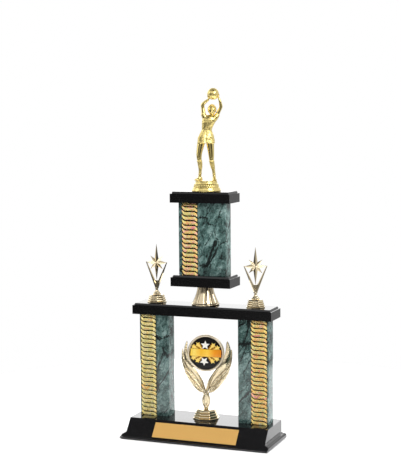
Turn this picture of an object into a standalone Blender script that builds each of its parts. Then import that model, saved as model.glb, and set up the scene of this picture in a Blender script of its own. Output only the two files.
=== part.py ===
"""Two-tier, two-post ball-sport trophy with a player figure, in metres, +Z up.

The stack is a base, two marble-finish posts, a deck, a riser, a wide marble-finish column
between two plates, and the figure. Threaded rods clamp it together. The origin is the bottom
centre of the whole object; the front faces -Y.
"""

import bmesh
import bpy
from math import atan2, cos, pi, radians, sin, sqrt, tau
from mathutils import Matrix, Vector

GAP = 0.0003                # clearance left between pieces that touch

# Where the posts' common axis plane lies behind the centre of the foot
AXIS_Y = 0.01425

# Base
FOOT_HALF_WIDTH = 0.1215
FOOT_FRONT = -0.0625        # these three are measured from the axis plane
FOOT_BACK = 0.0340
BASE_FRONT_TOP = -0.0365
BASE_HALF_WIDTH = 0.1145
BASE_BACK = 0.0300
BASE_TOP = 0.0290
FRONT_SLOPE = 0.825         # run of the sloping front for each metre of height
FOOT_BAND = 0.0036          # height of the upright band round the bottom
FELT_THICKNESS = 0.0010
FELT_INSET = 0.0020
COUNTERBORE_RADIUS = 0.0105
COUNTERBORE_TOP = 0.0110
DECK_POCKET_DEPTH = 0.0085
ENGRAVING_SIZE = (0.1380, 0.0252, 0.0008)
ENGRAVING_MIDDLE_Z = 0.0153

# Posts, deck, upper tier
POST_X = 0.0825
POST_SIZE = (0.0496, 0.0266)
COLUMN_SIZE = (0.0780, 0.0266)
TUBE_WALL = 0.0024
DECK_SIZE = (0.2300, 0.0460)
PLATE_SIZE = (0.0982, 0.0460)
PLATE_HEIGHT = 0.0170
PLATE_FACE = 0.0138         # height of a plate's upright face, below its raised lid
DECK_BOTTOM = 0.1920
LOWER_PLATE_BOTTOM = 0.2390
UPPER_PLATE_BOTTOM = 0.3690
DECK_TOP = DECK_BOTTOM + PLATE_HEIGHT
COLUMN_BOTTOM = LOWER_PLATE_BOTTOM + PLATE_HEIGHT
FIGURE_BOTTOM = UPPER_PLATE_BOTTOM + PLATE_HEIGHT

# Ribbed inlay strips
STRIP_WIDTH = 0.0260
STRIP_THICKNESS = 0.0005
RIB_HEIGHT = 0.0010
RIB_PITCH = 0.0069
STRIP_X = {"left_column_inlay": -0.0918, "right_column_inlay": 0.0926, "upper_column_inlay": -0.0197}

# Threaded rods and fasteners
ROD_RADIUS = 0.0030
HOLE_RADIUS = 0.0034
NUT_RADIUS = 0.0058         # to the corners
NUT_HEIGHT = 0.0050
WASHER_RADIUS = 0.0090
WASHER_HEIGHT = 0.0013
ROD_TAIL = 0.0012           # how far a rod reaches past its lower nut
FOOT_ROD_REACH = 0.0080     # how far a rod reaches into the foot above it
FIGURE_ROD_REACH = 0.0095
UPPER_NUT_LIFT = 0.0020     # the nuts inside the feet and the figure base stand this far up

# Riser
RISER_PROFILE = ((0.0000, 0.0222), (0.0022, 0.0216), (0.0052, 0.0190), (0.0145, 0.0147), (0.0297, 0.0122))
RISER_WALL = 0.0018

# Star finials
FINIAL_TURN = {"left": 0.0, "right": radians(21.6)}
STAR_Z = 0.2722
STAR_LONG_UP = 0.0303
STAR_LONG_DOWN = 0.0287
STAR_SIDE = 0.0173
STAR_DIAGONAL = 0.0148
STAR_ROOT = 0.0070
STAR_ROOT_LEAN = radians(5)     # the crooks beside the upright points lean this far towards the sides
STAR_DEPTH = 0.0026
CROOK_Z = 0.2375
NECK_Z = 0.2290
FINIAL_FOOT_TOP = 0.2216

# Insert holder
HOLDER_TURN = radians(14)
HOLDER_FOOT_TOP = 0.0437
RING_Z = 0.1325
RING_OUTER = 0.0290
RING_INNER = 0.0250
RING_DEPTH = 0.0070
INSERT_RADIUS = 0.0252
SEAT_Y = 0.0019             # the back of the insert's seat
STEM_BOTTOM = HOLDER_FOOT_TOP + GAP

# Figure, in its own turned plane, measured from the axis
FIGURE_TURN = radians(21.6)
FIGURE_X = 0.0026
FIGURE_BASE_TOP = 0.4025
BALL_CENTRE = (0.0139, -0.0010, 0.5353)
BALL_RADIUS = 0.0090


# ---------------------------------------------------------------- helpers

def clear_scene():
    for item in list(bpy.data.objects):
        bpy.data.objects.remove(item, do_unlink=True)


def make_material(name, colour, roughness, metallic):
    material = bpy.data.materials.new(name)
    material.use_nodes = True
    shader = material.node_tree.nodes["Principled BSDF"]
    shader.inputs["Base Color"].default_value = (*colour, 1.0)
    shader.inputs["Roughness"].default_value = roughness
    shader.inputs["Metallic"].default_value = metallic
    return material


def add_object(name, shape, material, place=(0, 0, 0), turn=0.0, smooth=False):
    """Give a bmesh its own object on the trophy's axis."""
    bmesh.ops.recalc_face_normals(shape, faces=shape.faces[:])
    mesh = bpy.data.meshes.new(name)
    shape.to_mesh(mesh)
    shape.free()
    item = bpy.data.objects.new(name, mesh)
    bpy.context.scene.collection.objects.link(item)
    item.parent = AXIS
    item.location = place
    item.rotation_euler = (0, 0, turn)
    mesh.materials.append(material)
    if smooth:
        mesh.shade_smooth()
        mesh.set_sharp_from_angle(angle=radians(30))
    return item


def add_cutter(name, shape, place=(0, 0, 0), turn=0.0):
    cutter = add_object(name, shape, CUTTER_FINISH, place, turn)
    cutter.hide_render = True
    cutter.display_type = "WIRE"
    return cutter


def combine(item, other, operation="DIFFERENCE"):
    step = item.modifiers.new(other.name, "BOOLEAN")
    step.operation = operation
    step.object = other
    step.solver = "EXACT"


def loft(rings, loop=False):
    """A closed solid through rings of points; a loop joins the last ring to the first."""
    shape = bmesh.new()
    rows = [[shape.verts.new(point) for point in ring] for ring in rings]
    following = rows[1:] + rows[:1] if loop else rows[1:]
    for row, beyond in zip(rows, following):
        for i in range(len(row)):
            j = (i + 1) % len(row)
            shape.faces.new((row[i], row[j], beyond[j], beyond[i]))
    if not loop:
        shape.faces.new(rows[0])
        shape.faces.new(rows[-1])
    return shape


def rectangle(half_x, y_front, y_back, z):
    return [(-half_x, y_front, z), (half_x, y_front, z), (half_x, y_back, z), (-half_x, y_back, z)]


def circle(radius, z, sides, phase=0.0, hexagonal=False):
    """Points round the Z axis; a hexagonal circle has its corners at every sides/6 points."""
    points = []
    for i in range(sides):
        angle = tau * i / sides
        shrink = 1.0
        if hexagonal:
            off_corner = (angle + pi / 6) % (pi / 3) - pi / 6
            shrink = cos(pi / 6) / cos(pi / 6 - abs(off_corner))
        points.append((radius * shrink * cos(angle + phase), radius * shrink * sin(angle + phase), z))
    return points


def turned_ring(profile, sides, phase=0.0):
    """A ring-shaped solid from a closed (radius, z) outline."""
    return loft([circle(radius, z, sides, phase) for radius, z in profile], loop=True)


def turned_solid(profile, sides, phase=0.0):
    """A solid from a (radius, z) outline that runs from its bottom to its top."""
    return loft([circle(radius, z, sides, phase) for radius, z in profile])


def cylinder(radius, bottom, top, sides=20):
    return turned_solid([(radius, bottom), (radius, top)], sides)


def sphere(centre, radius):
    shape = bmesh.new()
    bmesh.ops.create_icosphere(shape, subdivisions=3, radius=radius)
    shape.transform(Matrix.Translation(centre))
    return shape


def ellipse_section(centre, half_width, half_depth, sides=12):
    x, y, z = centre
    return [(x + half_width * cos(tau * i / sides), y + half_depth * sin(tau * i / sides), z)
            for i in range(sides)]


def limb(stations, sides=10):
    """A round tube through (x, y, z, radius) stations, with its sections across its own path."""
    points = [Vector(station[:3]) for station in stations]
    rings = []
    for i, point in enumerate(points):
        ahead = points[min(i + 1, len(points) - 1)] - points[max(i - 1, 0)]
        ahead.normalize()
        across = ahead.cross(Vector((0, 1, 0))).normalized()
        other = ahead.cross(across)
        radius = stations[i][3]
        rings.append([point + radius * (cos(tau * k / sides) * across + sin(tau * k / sides) * other)
                      for k in range(sides)])
    return loft(rings)


def merged(shapes):
    """Several closed shells in one bmesh."""
    whole = bmesh.new()
    for shape in shapes:
        bmesh.ops.recalc_face_normals(shape, faces=shape.faces[:])
        mesh = bpy.data.meshes.new("shell")
        shape.to_mesh(mesh)
        shape.free()
        whole.from_mesh(mesh)
        bpy.data.meshes.remove(mesh)
    return whole


def fuse(item, voxel, keep):
    """Make one skin of an object's overlapping shells, then thin its triangles."""
    skin = item.modifiers.new("skin", "REMESH")
    skin.mode = "VOXEL"
    skin.voxel_size = voxel
    thin = item.modifiers.new("thin", "DECIMATE")
    thin.ratio = keep


# ---------------------------------------------------------------- base

def base_width_at(z):
    """Half the base's width at a height: upright sides above a ledge and a round moulding."""
    ledge_z, ledge_out = 0.0078, 0.0028
    if z >= 0.0092:
        return BASE_HALF_WIDTH
    if z >= ledge_z:
        return BASE_HALF_WIDTH + ledge_out * (0.0092 - z) / (0.0092 - ledge_z)
    start = BASE_HALF_WIDTH + ledge_out
    fall = min(1.0, (ledge_z - z) / (ledge_z - FOOT_BAND))
    return start + (FOOT_HALF_WIDTH - start) * sqrt(1.0 - (1.0 - fall) ** 2)


def base_section(z):
    half_width = base_width_at(z)
    out = (half_width - BASE_HALF_WIDTH) / (FOOT_HALF_WIDTH - BASE_HALF_WIDTH)
    front = BASE_FRONT_TOP - FRONT_SLOPE * (BASE_TOP - z)
    back = BASE_BACK + out * (FOOT_BACK - BASE_BACK)
    return rectangle(half_width, front, back, z)


def build_base():
    heights = [BASE_TOP, 0.0092, 0.0078, 0.0076, 0.0072, 0.0067, 0.0061, 0.0054, 0.0047, 0.0040]
    rings = [base_section(z) for z in heights]
    rings.append(rectangle(FOOT_HALF_WIDTH, FOOT_FRONT + 0.0008, FOOT_BACK, FOOT_BAND))
    rings.append(rectangle(FOOT_HALF_WIDTH, FOOT_FRONT, FOOT_BACK, FOOT_BAND - 0.0008))
    rings.append(rectangle(FOOT_HALF_WIDTH, FOOT_FRONT, FOOT_BACK, FELT_THICKNESS + GAP))
    base = add_object("base", loft(rings), BLACK_GLOSS)
    for side, x in (("left", -POST_X), ("middle", 0.0), ("right", POST_X)):
        hole = add_cutter(f"cut_base_hole_{side}", cylinder(HOLE_RADIUS, -0.01, BASE_TOP + 0.01), (x, 0, 0))
        combine(base, hole)
        pocket = cylinder(COUNTERBORE_RADIUS, -0.01, COUNTERBORE_TOP, 24)
        combine(base, add_cutter(f"cut_base_pocket_{side}", pocket, (x, 0, 0)))


def build_felt():
    outline = (FOOT_HALF_WIDTH - FELT_INSET, FOOT_FRONT + FELT_INSET, FOOT_BACK - FELT_INSET)
    shape = loft([rectangle(*outline, 0.0), rectangle(*outline, FELT_THICKNESS)])
    add_object("base_felt", shape, FELT)


def build_engraving_plate():
    length, height, thickness = ENGRAVING_SIZE
    lean = atan2(FRONT_SLOPE, 1.0)
    middle_y = BASE_FRONT_TOP - FRONT_SLOPE * (BASE_TOP - ENGRAVING_MIDDLE_Z)
    shape = loft([rectangle(length / 2, -thickness - GAP, -GAP, z) for z in (-height / 2, height / 2)])
    shape.transform(Matrix.Rotation(-lean, 4, "X"))
    add_object("engraving_plate", shape, SATIN_GOLD, (0, middle_y, ENGRAVING_MIDDLE_Z))


# ---------------------------------------------------------------- columns, inlays, plates

def tube(size, bottom, top):
    """A rectangular tube, open at both ends."""
    half_x, half_y = size[0] / 2, size[1] / 2
    inner_x, inner_y = half_x - TUBE_WALL, half_y - TUBE_WALL
    outline = ((half_x, half_y, bottom), (half_x, half_y, top), (inner_x, inner_y, top), (inner_x, inner_y, bottom))
    return loft([rectangle(x, -y, y, z) for x, y, z in outline], loop=True)


def build_columns():
    for side, sign in (("left", -1), ("right", 1)):
        shape = tube(POST_SIZE, BASE_TOP + GAP, DECK_BOTTOM - GAP)
        add_object(f"{side}_column", shape, MARBLE, (sign * POST_X, 0, 0))
    shape = tube(COLUMN_SIZE, COLUMN_BOTTOM + GAP, UPPER_PLATE_BOTTOM - GAP)
    add_object("upper_column", shape, MARBLE)


def inlay(bottom, top):
    """A strip whose front is a row of slanted ribs, like louvres."""
    front = -POST_SIZE[1] / 2 - GAP
    count = round((top - bottom) / RIB_PITCH)
    pitch = (top - bottom) / count
    outline = [(front, bottom), (front, top)]
    for i in reversed(range(count)):
        foot = bottom + i * pitch
        if i < count - 1:
            outline.append((front - STRIP_THICKNESS, foot + pitch))
        else:
            outline.append((front - STRIP_THICKNESS, top))
        outline.append((front - STRIP_THICKNESS - RIB_HEIGHT, foot + 0.62 * pitch))
        outline.append((front - STRIP_THICKNESS - RIB_HEIGHT, foot + 0.30 * pitch))
    outline.append((front - STRIP_THICKNESS, bottom))
    ends = [[(x, y, z) for y, z in outline] for x in (-STRIP_WIDTH / 2, STRIP_WIDTH / 2)]
    return loft(ends)


def build_inlays():
    for name, x in STRIP_X.items():
        upper = name.startswith("upper")
        bottom = (COLUMN_BOTTOM if upper else BASE_TOP) + GAP
        top = (UPPER_PLATE_BOTTOM if upper else DECK_BOTTOM) - GAP
        add_object(name, inlay(bottom, top), HOLOGRAPHIC_GOLD, (x, 0, 0))


def stepped_plate(size):
    """An upright block with a smaller, slightly sloping lid on top."""
    steps = ((0.0, 0.0), (0.0, PLATE_FACE), (0.0024, PLATE_FACE + 0.0004),
             (0.0028, PLATE_FACE + 0.0017), (0.0036, PLATE_HEIGHT))
    rings = []
    for inset, z in steps:
        half_y = size[1] / 2 - inset
        rings.append(rectangle(size[0] / 2 - inset, -half_y, half_y, z))
    return loft(rings)


def build_plates():
    deck = add_object("deck", stepped_plate(DECK_SIZE), BLACK_GLOSS, (0, 0, DECK_BOTTOM))
    for side, x in (("left", -POST_X), ("middle", 0.0), ("right", POST_X)):
        hole = cylinder(HOLE_RADIUS, DECK_BOTTOM - 0.01, DECK_TOP + 0.01)
        combine(deck, add_cutter(f"cut_deck_hole_{side}", hole, (x, 0, 0)))
    pocket = cylinder(COUNTERBORE_RADIUS, DECK_BOTTOM - 0.01, DECK_BOTTOM + DECK_POCKET_DEPTH, 24)
    combine(deck, add_cutter("cut_deck_pocket", pocket))
    for name, bottom in (("upper_bottom_plate", LOWER_PLATE_BOTTOM), ("upper_top_plate", UPPER_PLATE_BOTTOM)):
        plate = add_object(name, stepped_plate(PLATE_SIZE), BLACK_GLOSS, (0, 0, bottom))
        hole = cylinder(HOLE_RADIUS, bottom - 0.01, bottom + PLATE_HEIGHT + 0.01)
        combine(plate, add_cutter(f"cut_{name}_hole", hole))


def build_riser():
    bottom = DECK_TOP + GAP
    top = LOWER_PLATE_BOTTOM - GAP
    height = top - bottom
    outer = [(radius, bottom + height * z / RISER_PROFILE[-1][0]) for z, radius in RISER_PROFILE]
    inner = [(radius - RISER_WALL, z) for radius, z in outer]
    rim = (HOLE_RADIUS + 0.0002, top), (HOLE_RADIUS + 0.0002, top - 0.0024)
    inner[-1] = (inner[-1][0], top - 0.0024)
    profile = outer + list(rim) + inner[::-1]
    add_object("riser", turned_ring(profile, 24), CHAMPAGNE, smooth=True)


# ---------------------------------------------------------------- rods and fasteners

def rod(bottom, top):
    tip = 0.0006
    profile = [(ROD_RADIUS - tip, bottom), (ROD_RADIUS, bottom + tip), (ROD_RADIUS, top - tip), (ROD_RADIUS - tip, top)]
    return turned_solid(profile, 16)


def nut(bottom):
    bore = ROD_RADIUS + GAP
    top = bottom + NUT_HEIGHT
    rings = [circle(bore, top, 12), circle(bore, bottom, 12)]
    rings += [circle(NUT_RADIUS, bottom, 12, hexagonal=True), circle(NUT_RADIUS, top, 12, hexagonal=True)]
    return loft(rings, loop=True)


def washer(bottom):
    bore = ROD_RADIUS + GAP
    top = bottom + WASHER_HEIGHT
    return turned_ring([(bore, bottom), (WASHER_RADIUS, bottom), (WASHER_RADIUS, top), (bore, top)], 20)


def build_fasteners():
    washer_z = COUNTERBORE_TOP - GAP - WASHER_HEIGHT
    nut_z = washer_z - GAP - NUT_HEIGHT
    seats = (("left", -POST_X), ("holder", 0.0), ("right", POST_X))
    for side, x in seats:
        add_object(f"base_washer_{side}", washer(washer_z), STEEL, (x, 0, 0), smooth=True)
        add_object(f"base_nut_{side}", nut(nut_z), STEEL, (x, 0, 0))
    for side, sign in (("left", -1), ("right", 1)):
        shape = rod(nut_z - ROD_TAIL, DECK_TOP + FOOT_ROD_REACH)
        add_object(f"{side}_rod", shape, STEEL, (sign * POST_X, 0, 0), smooth=True)
        add_object(f"finial_nut_{side}", nut(DECK_TOP + UPPER_NUT_LIFT), STEEL, (sign * POST_X, 0, 0))
    add_object("holder_stud", rod(nut_z - ROD_TAIL, BASE_TOP + FOOT_ROD_REACH), STEEL, smooth=True)
    add_object("holder_nut", nut(BASE_TOP + UPPER_NUT_LIFT), STEEL)

    deck_washer_z = DECK_BOTTOM + DECK_POCKET_DEPTH - GAP - WASHER_HEIGHT
    deck_nut_z = deck_washer_z - GAP - NUT_HEIGHT
    add_object("deck_washer", washer(deck_washer_z), STEEL, smooth=True)
    add_object("deck_nut", nut(deck_nut_z), STEEL)
    centre = rod(deck_nut_z - ROD_TAIL, FIGURE_BOTTOM + FIGURE_ROD_REACH)
    add_object("centre_rod", centre, STEEL, smooth=True)
    add_object("figure_nut", nut(FIGURE_BOTTOM + UPPER_NUT_LIFT), STEEL)


# ---------------------------------------------------------------- tiered feet

def tiered_foot(bottom, steps, phase):
    """An eight-sided hollow foot; steps are (height, radius) up its outside."""
    outside = [(radius, bottom + height) for height, radius in steps]
    top = outside[-1][1]
    wall = 0.0020
    room_top = top - 0.0020
    inside = [(HOLE_RADIUS, top), (HOLE_RADIUS, room_top), (0.0075, room_top), (outside[0][0] - 2 * wall, bottom)]
    return turned_ring(outside + inside, 8, phase)


def build_feet():
    finial_steps = ((0.0, 0.0154), (0.0014, 0.0152), (0.0022, 0.0140), (0.0046, 0.0138), (0.0052, 0.0131),
                    (0.0080, 0.0129), (0.0086, 0.0122), (0.0112, 0.0120), (0.0121, 0.0110))
    for side, sign in (("left", -1), ("right", 1)):
        shape = tiered_foot(DECK_TOP + GAP, finial_steps, pi / 8)
        add_object(f"{side}_finial_foot", shape, CHAMPAGNE, (sign * POST_X, 0, 0), FINIAL_TURN[side])
    holder_steps = ((0.0, 0.0216), (0.0018, 0.0213), (0.0028, 0.0194), (0.0056, 0.0190), (0.0064, 0.0175),
                    (0.0092, 0.0171), (0.0100, 0.0156), (0.0134, 0.0152), (0.0144, 0.0140))
    foot = tiered_foot(BASE_TOP + GAP, holder_steps, pi / 8)
    add_object("holder_foot", foot, CHAMPAGNE, turn=HOLDER_TURN)


# ---------------------------------------------------------------- star finials

def star():
    """Eight ridged points round a raised centre, in the XZ plane."""
    lengths = [STAR_LONG_UP, STAR_DIAGONAL, STAR_SIDE, STAR_DIAGONAL,
               STAR_LONG_DOWN, STAR_DIAGONAL, STAR_SIDE, STAR_DIAGONAL]
    shape = bmesh.new()
    rim = []
    for i, length in enumerate(lengths):
        toward_upright = 1 if i % 4 in (0, 3) else -1
        crook = (i + 0.5) * pi / 4 + toward_upright * (-1 if i % 4 == 3 else 1) * STAR_ROOT_LEAN
        for reach, angle in ((length, i * pi / 4), (STAR_ROOT, crook)):
            rim.append(shape.verts.new((reach * sin(angle), 0, STAR_Z + reach * cos(angle))))
    for side in (-1, 1):
        centre = shape.verts.new((0, side * STAR_DEPTH, STAR_Z))
        for a, b in zip(rim, rim[1:] + rim[:1]):
            shape.faces.new((a, b, centre))
    return shape


def twisted_neck():
    """A cone of six rounded lobes that turn as they rise to the crook."""
    sides, lobes, turns = 24, 6, radians(70)
    levels = ((FINIAL_FOOT_TOP + GAP, 0.0066), (0.2226, 0.0064), (0.2236, 0.0050), (0.2248, 0.0045),
              (0.2266, 0.0033), (NECK_Z, 0.0022), (0.2318, 0.0029), (0.2346, 0.0022), (CROOK_Z, 0.0014))
    rings = []
    for z, radius in levels:
        lean = turns * (z - FINIAL_FOOT_TOP) / (CROOK_Z - FINIAL_FOOT_TOP)
        ring = []
        for i in range(sides):
            angle = tau * i / sides
            lobe = radius * (1.0 - 0.10 * (1.0 - abs(cos(lobes / 2 * (angle - lean)))))
            ring.append((lobe * cos(angle), lobe * sin(angle), z))
        rings.append(ring)
    return loft(rings)


def bar(start, end, start_half, end_half, start_depth, end_depth):
    """A four-sided tapering bar in the XZ plane."""
    a, b = Vector(start), Vector(end)
    along = (b - a).normalized()
    across = along.cross(Vector((0, 1, 0)))
    rings = []
    for point, half, depth in ((a, start_half, start_depth), (b, end_half, end_depth)):
        deep = Vector((0, depth, 0))
        rings.append([point + half * across, point + deep, point - half * across, point - deep])
    return loft(rings)


def build_finial(side, sign):
    place, turn = (sign * POST_X, 0, 0), FINIAL_TURN[side]
    item = add_object(f"{side}_finial_star", star(), CHAMPAGNE, place, turn)
    for end in (-1, 1):
        shape = bar((end * (STAR_SIDE + 0.0003), 0, STAR_Z + 0.0008), (end * -0.0008, 0, CROOK_Z - 0.0075),
                    0.0007, 0.0027, 0.0010, 0.0026)
        name = "left" if end < 0 else "right"
        combine(item, add_cutter(f"join_{side}_bar_{name}", shape, place, turn), "UNION")
    web = loft([[(x * 0.0031, y, CROOK_Z + 0.0052), (-x * 0.0031, y, CROOK_Z + 0.0052), (0, y, CROOK_Z - 0.0040)]
                for x, y in ((1, -0.0011), (1, 0.0011))])
    combine(item, add_cutter(f"join_{side}_web", web, place, turn), "UNION")
    combine(item, add_cutter(f"join_{side}_neck", twisted_neck(), place, turn), "UNION")


# ---------------------------------------------------------------- insert holder

def wing(sign):
    """One raised wing: sections across its length from the stem to its tip."""
    stations = (   # outer x, outer z, inner x, inner z, half depth
        (0.0056, 0.0660, 0.0010, 0.0710, 0.0036),
        (0.0169, 0.0735, 0.0040, 0.0770, 0.0040),
        (0.0226, 0.0820, 0.0074, 0.0880, 0.0042),
        (0.0320, 0.0970, 0.0112, 0.0980, 0.0042),
        (0.0376, 0.1100, 0.0226, 0.1118, 0.0036),
        (0.0400, 0.1260, 0.0262, 0.1240, 0.0030),
        (0.0374, 0.1370, 0.0274, 0.1360, 0.0022),
        (0.0316, 0.1495, 0.0300, 0.1485, 0.0010),
    )
    rings = []
    for outer_x, outer_z, inner_x, inner_z, depth in stations:
        outer = Vector((sign * outer_x, 0, outer_z))
        inner = Vector((sign * inner_x, 0, inner_z))
        middle = (outer + inner) / 2
        deep = Vector((0, depth, 0))
        rings.append([outer, (outer + middle) / 2 + deep, (inner + middle) / 2 + deep, inner,
                      (inner + middle) / 2 - deep, (outer + middle) / 2 - deep])
    return loft(rings)


def ring_frame():
    """The bezel that the insert sits in: a turned ring with a thin floor, facing -Y."""
    half = RING_DEPTH / 2
    profile = [(RING_OUTER, -half + 0.0012), (RING_OUTER - 0.0012, -half), (RING_INNER + 0.0010, -half),
               (RING_INNER + 0.0006, SEAT_Y), (RING_INNER - 0.0050, SEAT_Y),
               (RING_INNER - 0.0050, half), (RING_OUTER, half)]
    shape = turned_ring(profile, 40)
    shape.transform(Matrix.Translation((0, 0, RING_Z)) @ Matrix.Rotation(-pi / 2, 4, "X"))
    return shape


def build_holder():
    stem = turned_solid([(0.0036, STEM_BOTTOM), (0.0034, 0.0486), (0.0050, 0.0525), (0.0062, 0.0575),
                         (0.0054, 0.0630), (0.0045, 0.0680), (0.0048, 0.0720)], 12)
    shape = merged([wing(-1), wing(1), stem, ring_frame()])
    item = add_object("insert_holder", shape, CHAMPAGNE, turn=HOLDER_TURN)
    fuse(item, 0.0011, 0.085)
    seat = cylinder(INSERT_RADIUS + GAP, -SEAT_Y, 0.02, 40)
    seat.transform(Matrix.Translation((0, 0, RING_Z)) @ Matrix.Rotation(pi / 2, 4, "X"))
    combine(item, add_cutter("cut_insert_seat", seat, turn=HOLDER_TURN))


def build_insert():
    back_y = SEAT_Y - GAP
    radius = INSERT_RADIUS
    lift = Matrix.Translation((0, 0, RING_Z)) @ Matrix.Rotation(pi / 2, 4, "X")
    disc = turned_solid([(radius, -back_y), (radius, -back_y + 0.0014)], 40)
    disc.transform(lift)
    add_object("insert_disc", disc, PRINT_BLACK, turn=HOLDER_TURN, smooth=True)
    face = -back_y + 0.0014 + GAP
    dome = []
    rise = 0.0022
    for i in range(6):
        share = i / 5
        dome.append((radius * (1 - 0.985 * share), face + 0.0008 + rise * sqrt(1 - (1 - share) ** 2)))
    shape = turned_solid([(radius, face)] + dome, 40)
    shape.transform(lift)
    add_object("insert_dome", shape, CLEAR_RESIN, turn=HOLDER_TURN, smooth=True)


# ---------------------------------------------------------------- figure

def build_figure_base():
    offset = (FIGURE_X * cos(FIGURE_TURN), FIGURE_X * sin(FIGURE_TURN), 0)
    bottom = FIGURE_BOTTOM + GAP
    profile = [(0.0224, bottom), (0.0222, bottom + 0.0016), (0.0206, bottom + 0.0040), (0.0200, bottom + 0.0068),
               (0.0188, bottom + 0.0074), (0.0182, bottom + 0.0108), (0.0168, bottom + 0.0116),
               (0.0164, FIGURE_BASE_TOP - 0.0012), (0.0156, FIGURE_BASE_TOP)]
    item = add_object("figure_base", turned_solid(profile, 32), FIGURE_GOLD, offset, smooth=True)
    pocket_top = FIGURE_BOTTOM + UPPER_NUT_LIFT + NUT_HEIGHT + GAP
    pocket = loft([circle(NUT_RADIUS + GAP, z, 12, hexagonal=True) for z in (bottom - 0.01, pocket_top)])
    combine(item, add_cutter("cut_figure_nut_pocket", pocket))
    hole = cylinder(HOLE_RADIUS, bottom - 0.01, FIGURE_BOTTOM + FIGURE_ROD_REACH + 0.0005, 16)
    combine(item, add_cutter("cut_figure_rod_hole", hole))


def torso_and_skirt():
    sections = (   # x, y, z, half width, half depth
        (0.0026, 0.0000, 0.4612, 0.0128, 0.0086),
        (0.0028, 0.0000, 0.4665, 0.0122, 0.0082),
        (0.0032, 0.0000, 0.4725, 0.0112, 0.0074),
        (0.0038, 0.0000, 0.4800, 0.0080, 0.0058),
        (0.0052, -0.0002, 0.4860, 0.0094, 0.0062),
        (0.0072, -0.0004, 0.4950, 0.0116, 0.0066),
        (0.0092, -0.0002, 0.5000, 0.0112, 0.0054),
        (0.0106, 0.0000, 0.5030, 0.0050, 0.0036),
    )
    return loft([ellipse_section(s[:3], s[3], s[4], 16) for s in sections])


def head():
    sections = []
    centre, half_height = 0.5112, 0.0078
    for i in range(7):
        angle = pi * (i + 0.5) / 7
        sections.append(ellipse_section((0.0121, 0.0, centre - half_height * cos(angle)),
                                        0.0061 * sin(angle), 0.0066 * sin(angle), 12))
    return loft(sections)


def figure_limbs():
    """Both arms, both legs, the neck and the shoes, as (x, y, z, radius) stations."""
    return [
        limb(((0.0020, 0, 0.4975, 0.0044), (-0.0003, 0.0004, 0.5040, 0.0036), (-0.0012, 0.0006, 0.5130, 0.0023),
              (-0.0010, 0.0002, 0.5190, 0.0024), (0.0040, -0.0012, 0.5240, 0.0019), (0.0082, -0.0020, 0.5275, 0.0016),
              (0.0094, -0.0020, 0.5290, 0.0010))),
        limb(((0.0160, 0, 0.4965, 0.0044), (0.0196, 0.0004, 0.5030, 0.0036), (0.0234, 0.0006, 0.5110, 0.0024),
              (0.0252, 0.0002, 0.5165, 0.0024), (0.0236, -0.0008, 0.5220, 0.0019), (0.0220, -0.0016, 0.5262, 0.0016),
              (0.0217, -0.0016, 0.5280, 0.0010))),
        limb(((0.0112, 0, 0.4990, 0.0034), (0.0118, 0, 0.5060, 0.0030))),
        limb(((-0.0040, 0, 0.4650, 0.0064), (-0.0068, 0, 0.4530, 0.0054), (-0.0084, -0.0004, 0.4420, 0.0043),
              (-0.0079, -0.0006, 0.4345, 0.0036), (-0.0066, 0.0004, 0.4280, 0.0036), (-0.0066, 0.0010, 0.4195, 0.0022),
              (-0.0072, 0.0010, 0.4120, 0.0024), (-0.0080, 0.0008, 0.4070, 0.0028))),
        limb(((0.0080, 0, 0.4650, 0.0064), (0.0094, 0, 0.4540, 0.0056), (0.0105, -0.0004, 0.4420, 0.0045),
              (0.0108, -0.0006, 0.4340, 0.0037), (0.0120, 0.0004, 0.4265, 0.0035), (0.0140, 0.0010, 0.4185, 0.0022),
              (0.0150, 0.0010, 0.4120, 0.0024), (0.0152, 0.0008, 0.4070, 0.0028))),
    ]


def shoe(heel, toe):
    """A closed shoe from its heel to its toe, flat underneath."""
    sole = FIGURE_BASE_TOP + GAP
    start, end = Vector((*heel, 0)), Vector((*toe, 0))
    along = (end - start).normalized()
    across = Vector((-along.y, along.x, 0))
    rings = []
    for share, half, height in ((0.0, 0.0017, 0.0040), (0.2, 0.0028, 0.0062), (0.55, 0.0031, 0.0050),
                                (0.85, 0.0029, 0.0032), (1.0, 0.0017, 0.0020)):
        centre = start.lerp(end, share)
        rings.append([centre + across * (half * x) + Vector((0, 0, sole + height * z))
                      for x, z in ((-1, 0), (1, 0), (1, 0.55), (0.55, 1), (-0.55, 1), (-1, 0.55))])
    return loft(rings)


def build_figure():
    shells = [torso_and_skirt(), head(), *figure_limbs()]
    shells.append(shoe((-0.0040, 0.0028), (-0.0148, -0.0044)))
    shells.append(shoe((0.0146, 0.0040), (0.0158, -0.0088)))
    item = add_object("player_figure", merged(shells), FIGURE_GOLD, turn=FIGURE_TURN)
    fuse(item, 0.0008, 0.085)
    combine(item, add_cutter("cut_ball_space", sphere(BALL_CENTRE, BALL_RADIUS + GAP), turn=FIGURE_TURN))
    add_object("ball", sphere(BALL_CENTRE, BALL_RADIUS), FIGURE_GOLD, turn=FIGURE_TURN, smooth=True)


# ---------------------------------------------------------------- build

clear_scene()
AXIS = bpy.data.objects.new("trophy_axis", None)
bpy.context.scene.collection.objects.link(AXIS)
AXIS.location = (0, AXIS_Y, 0)
bpy.context.view_layer.update()

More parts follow.
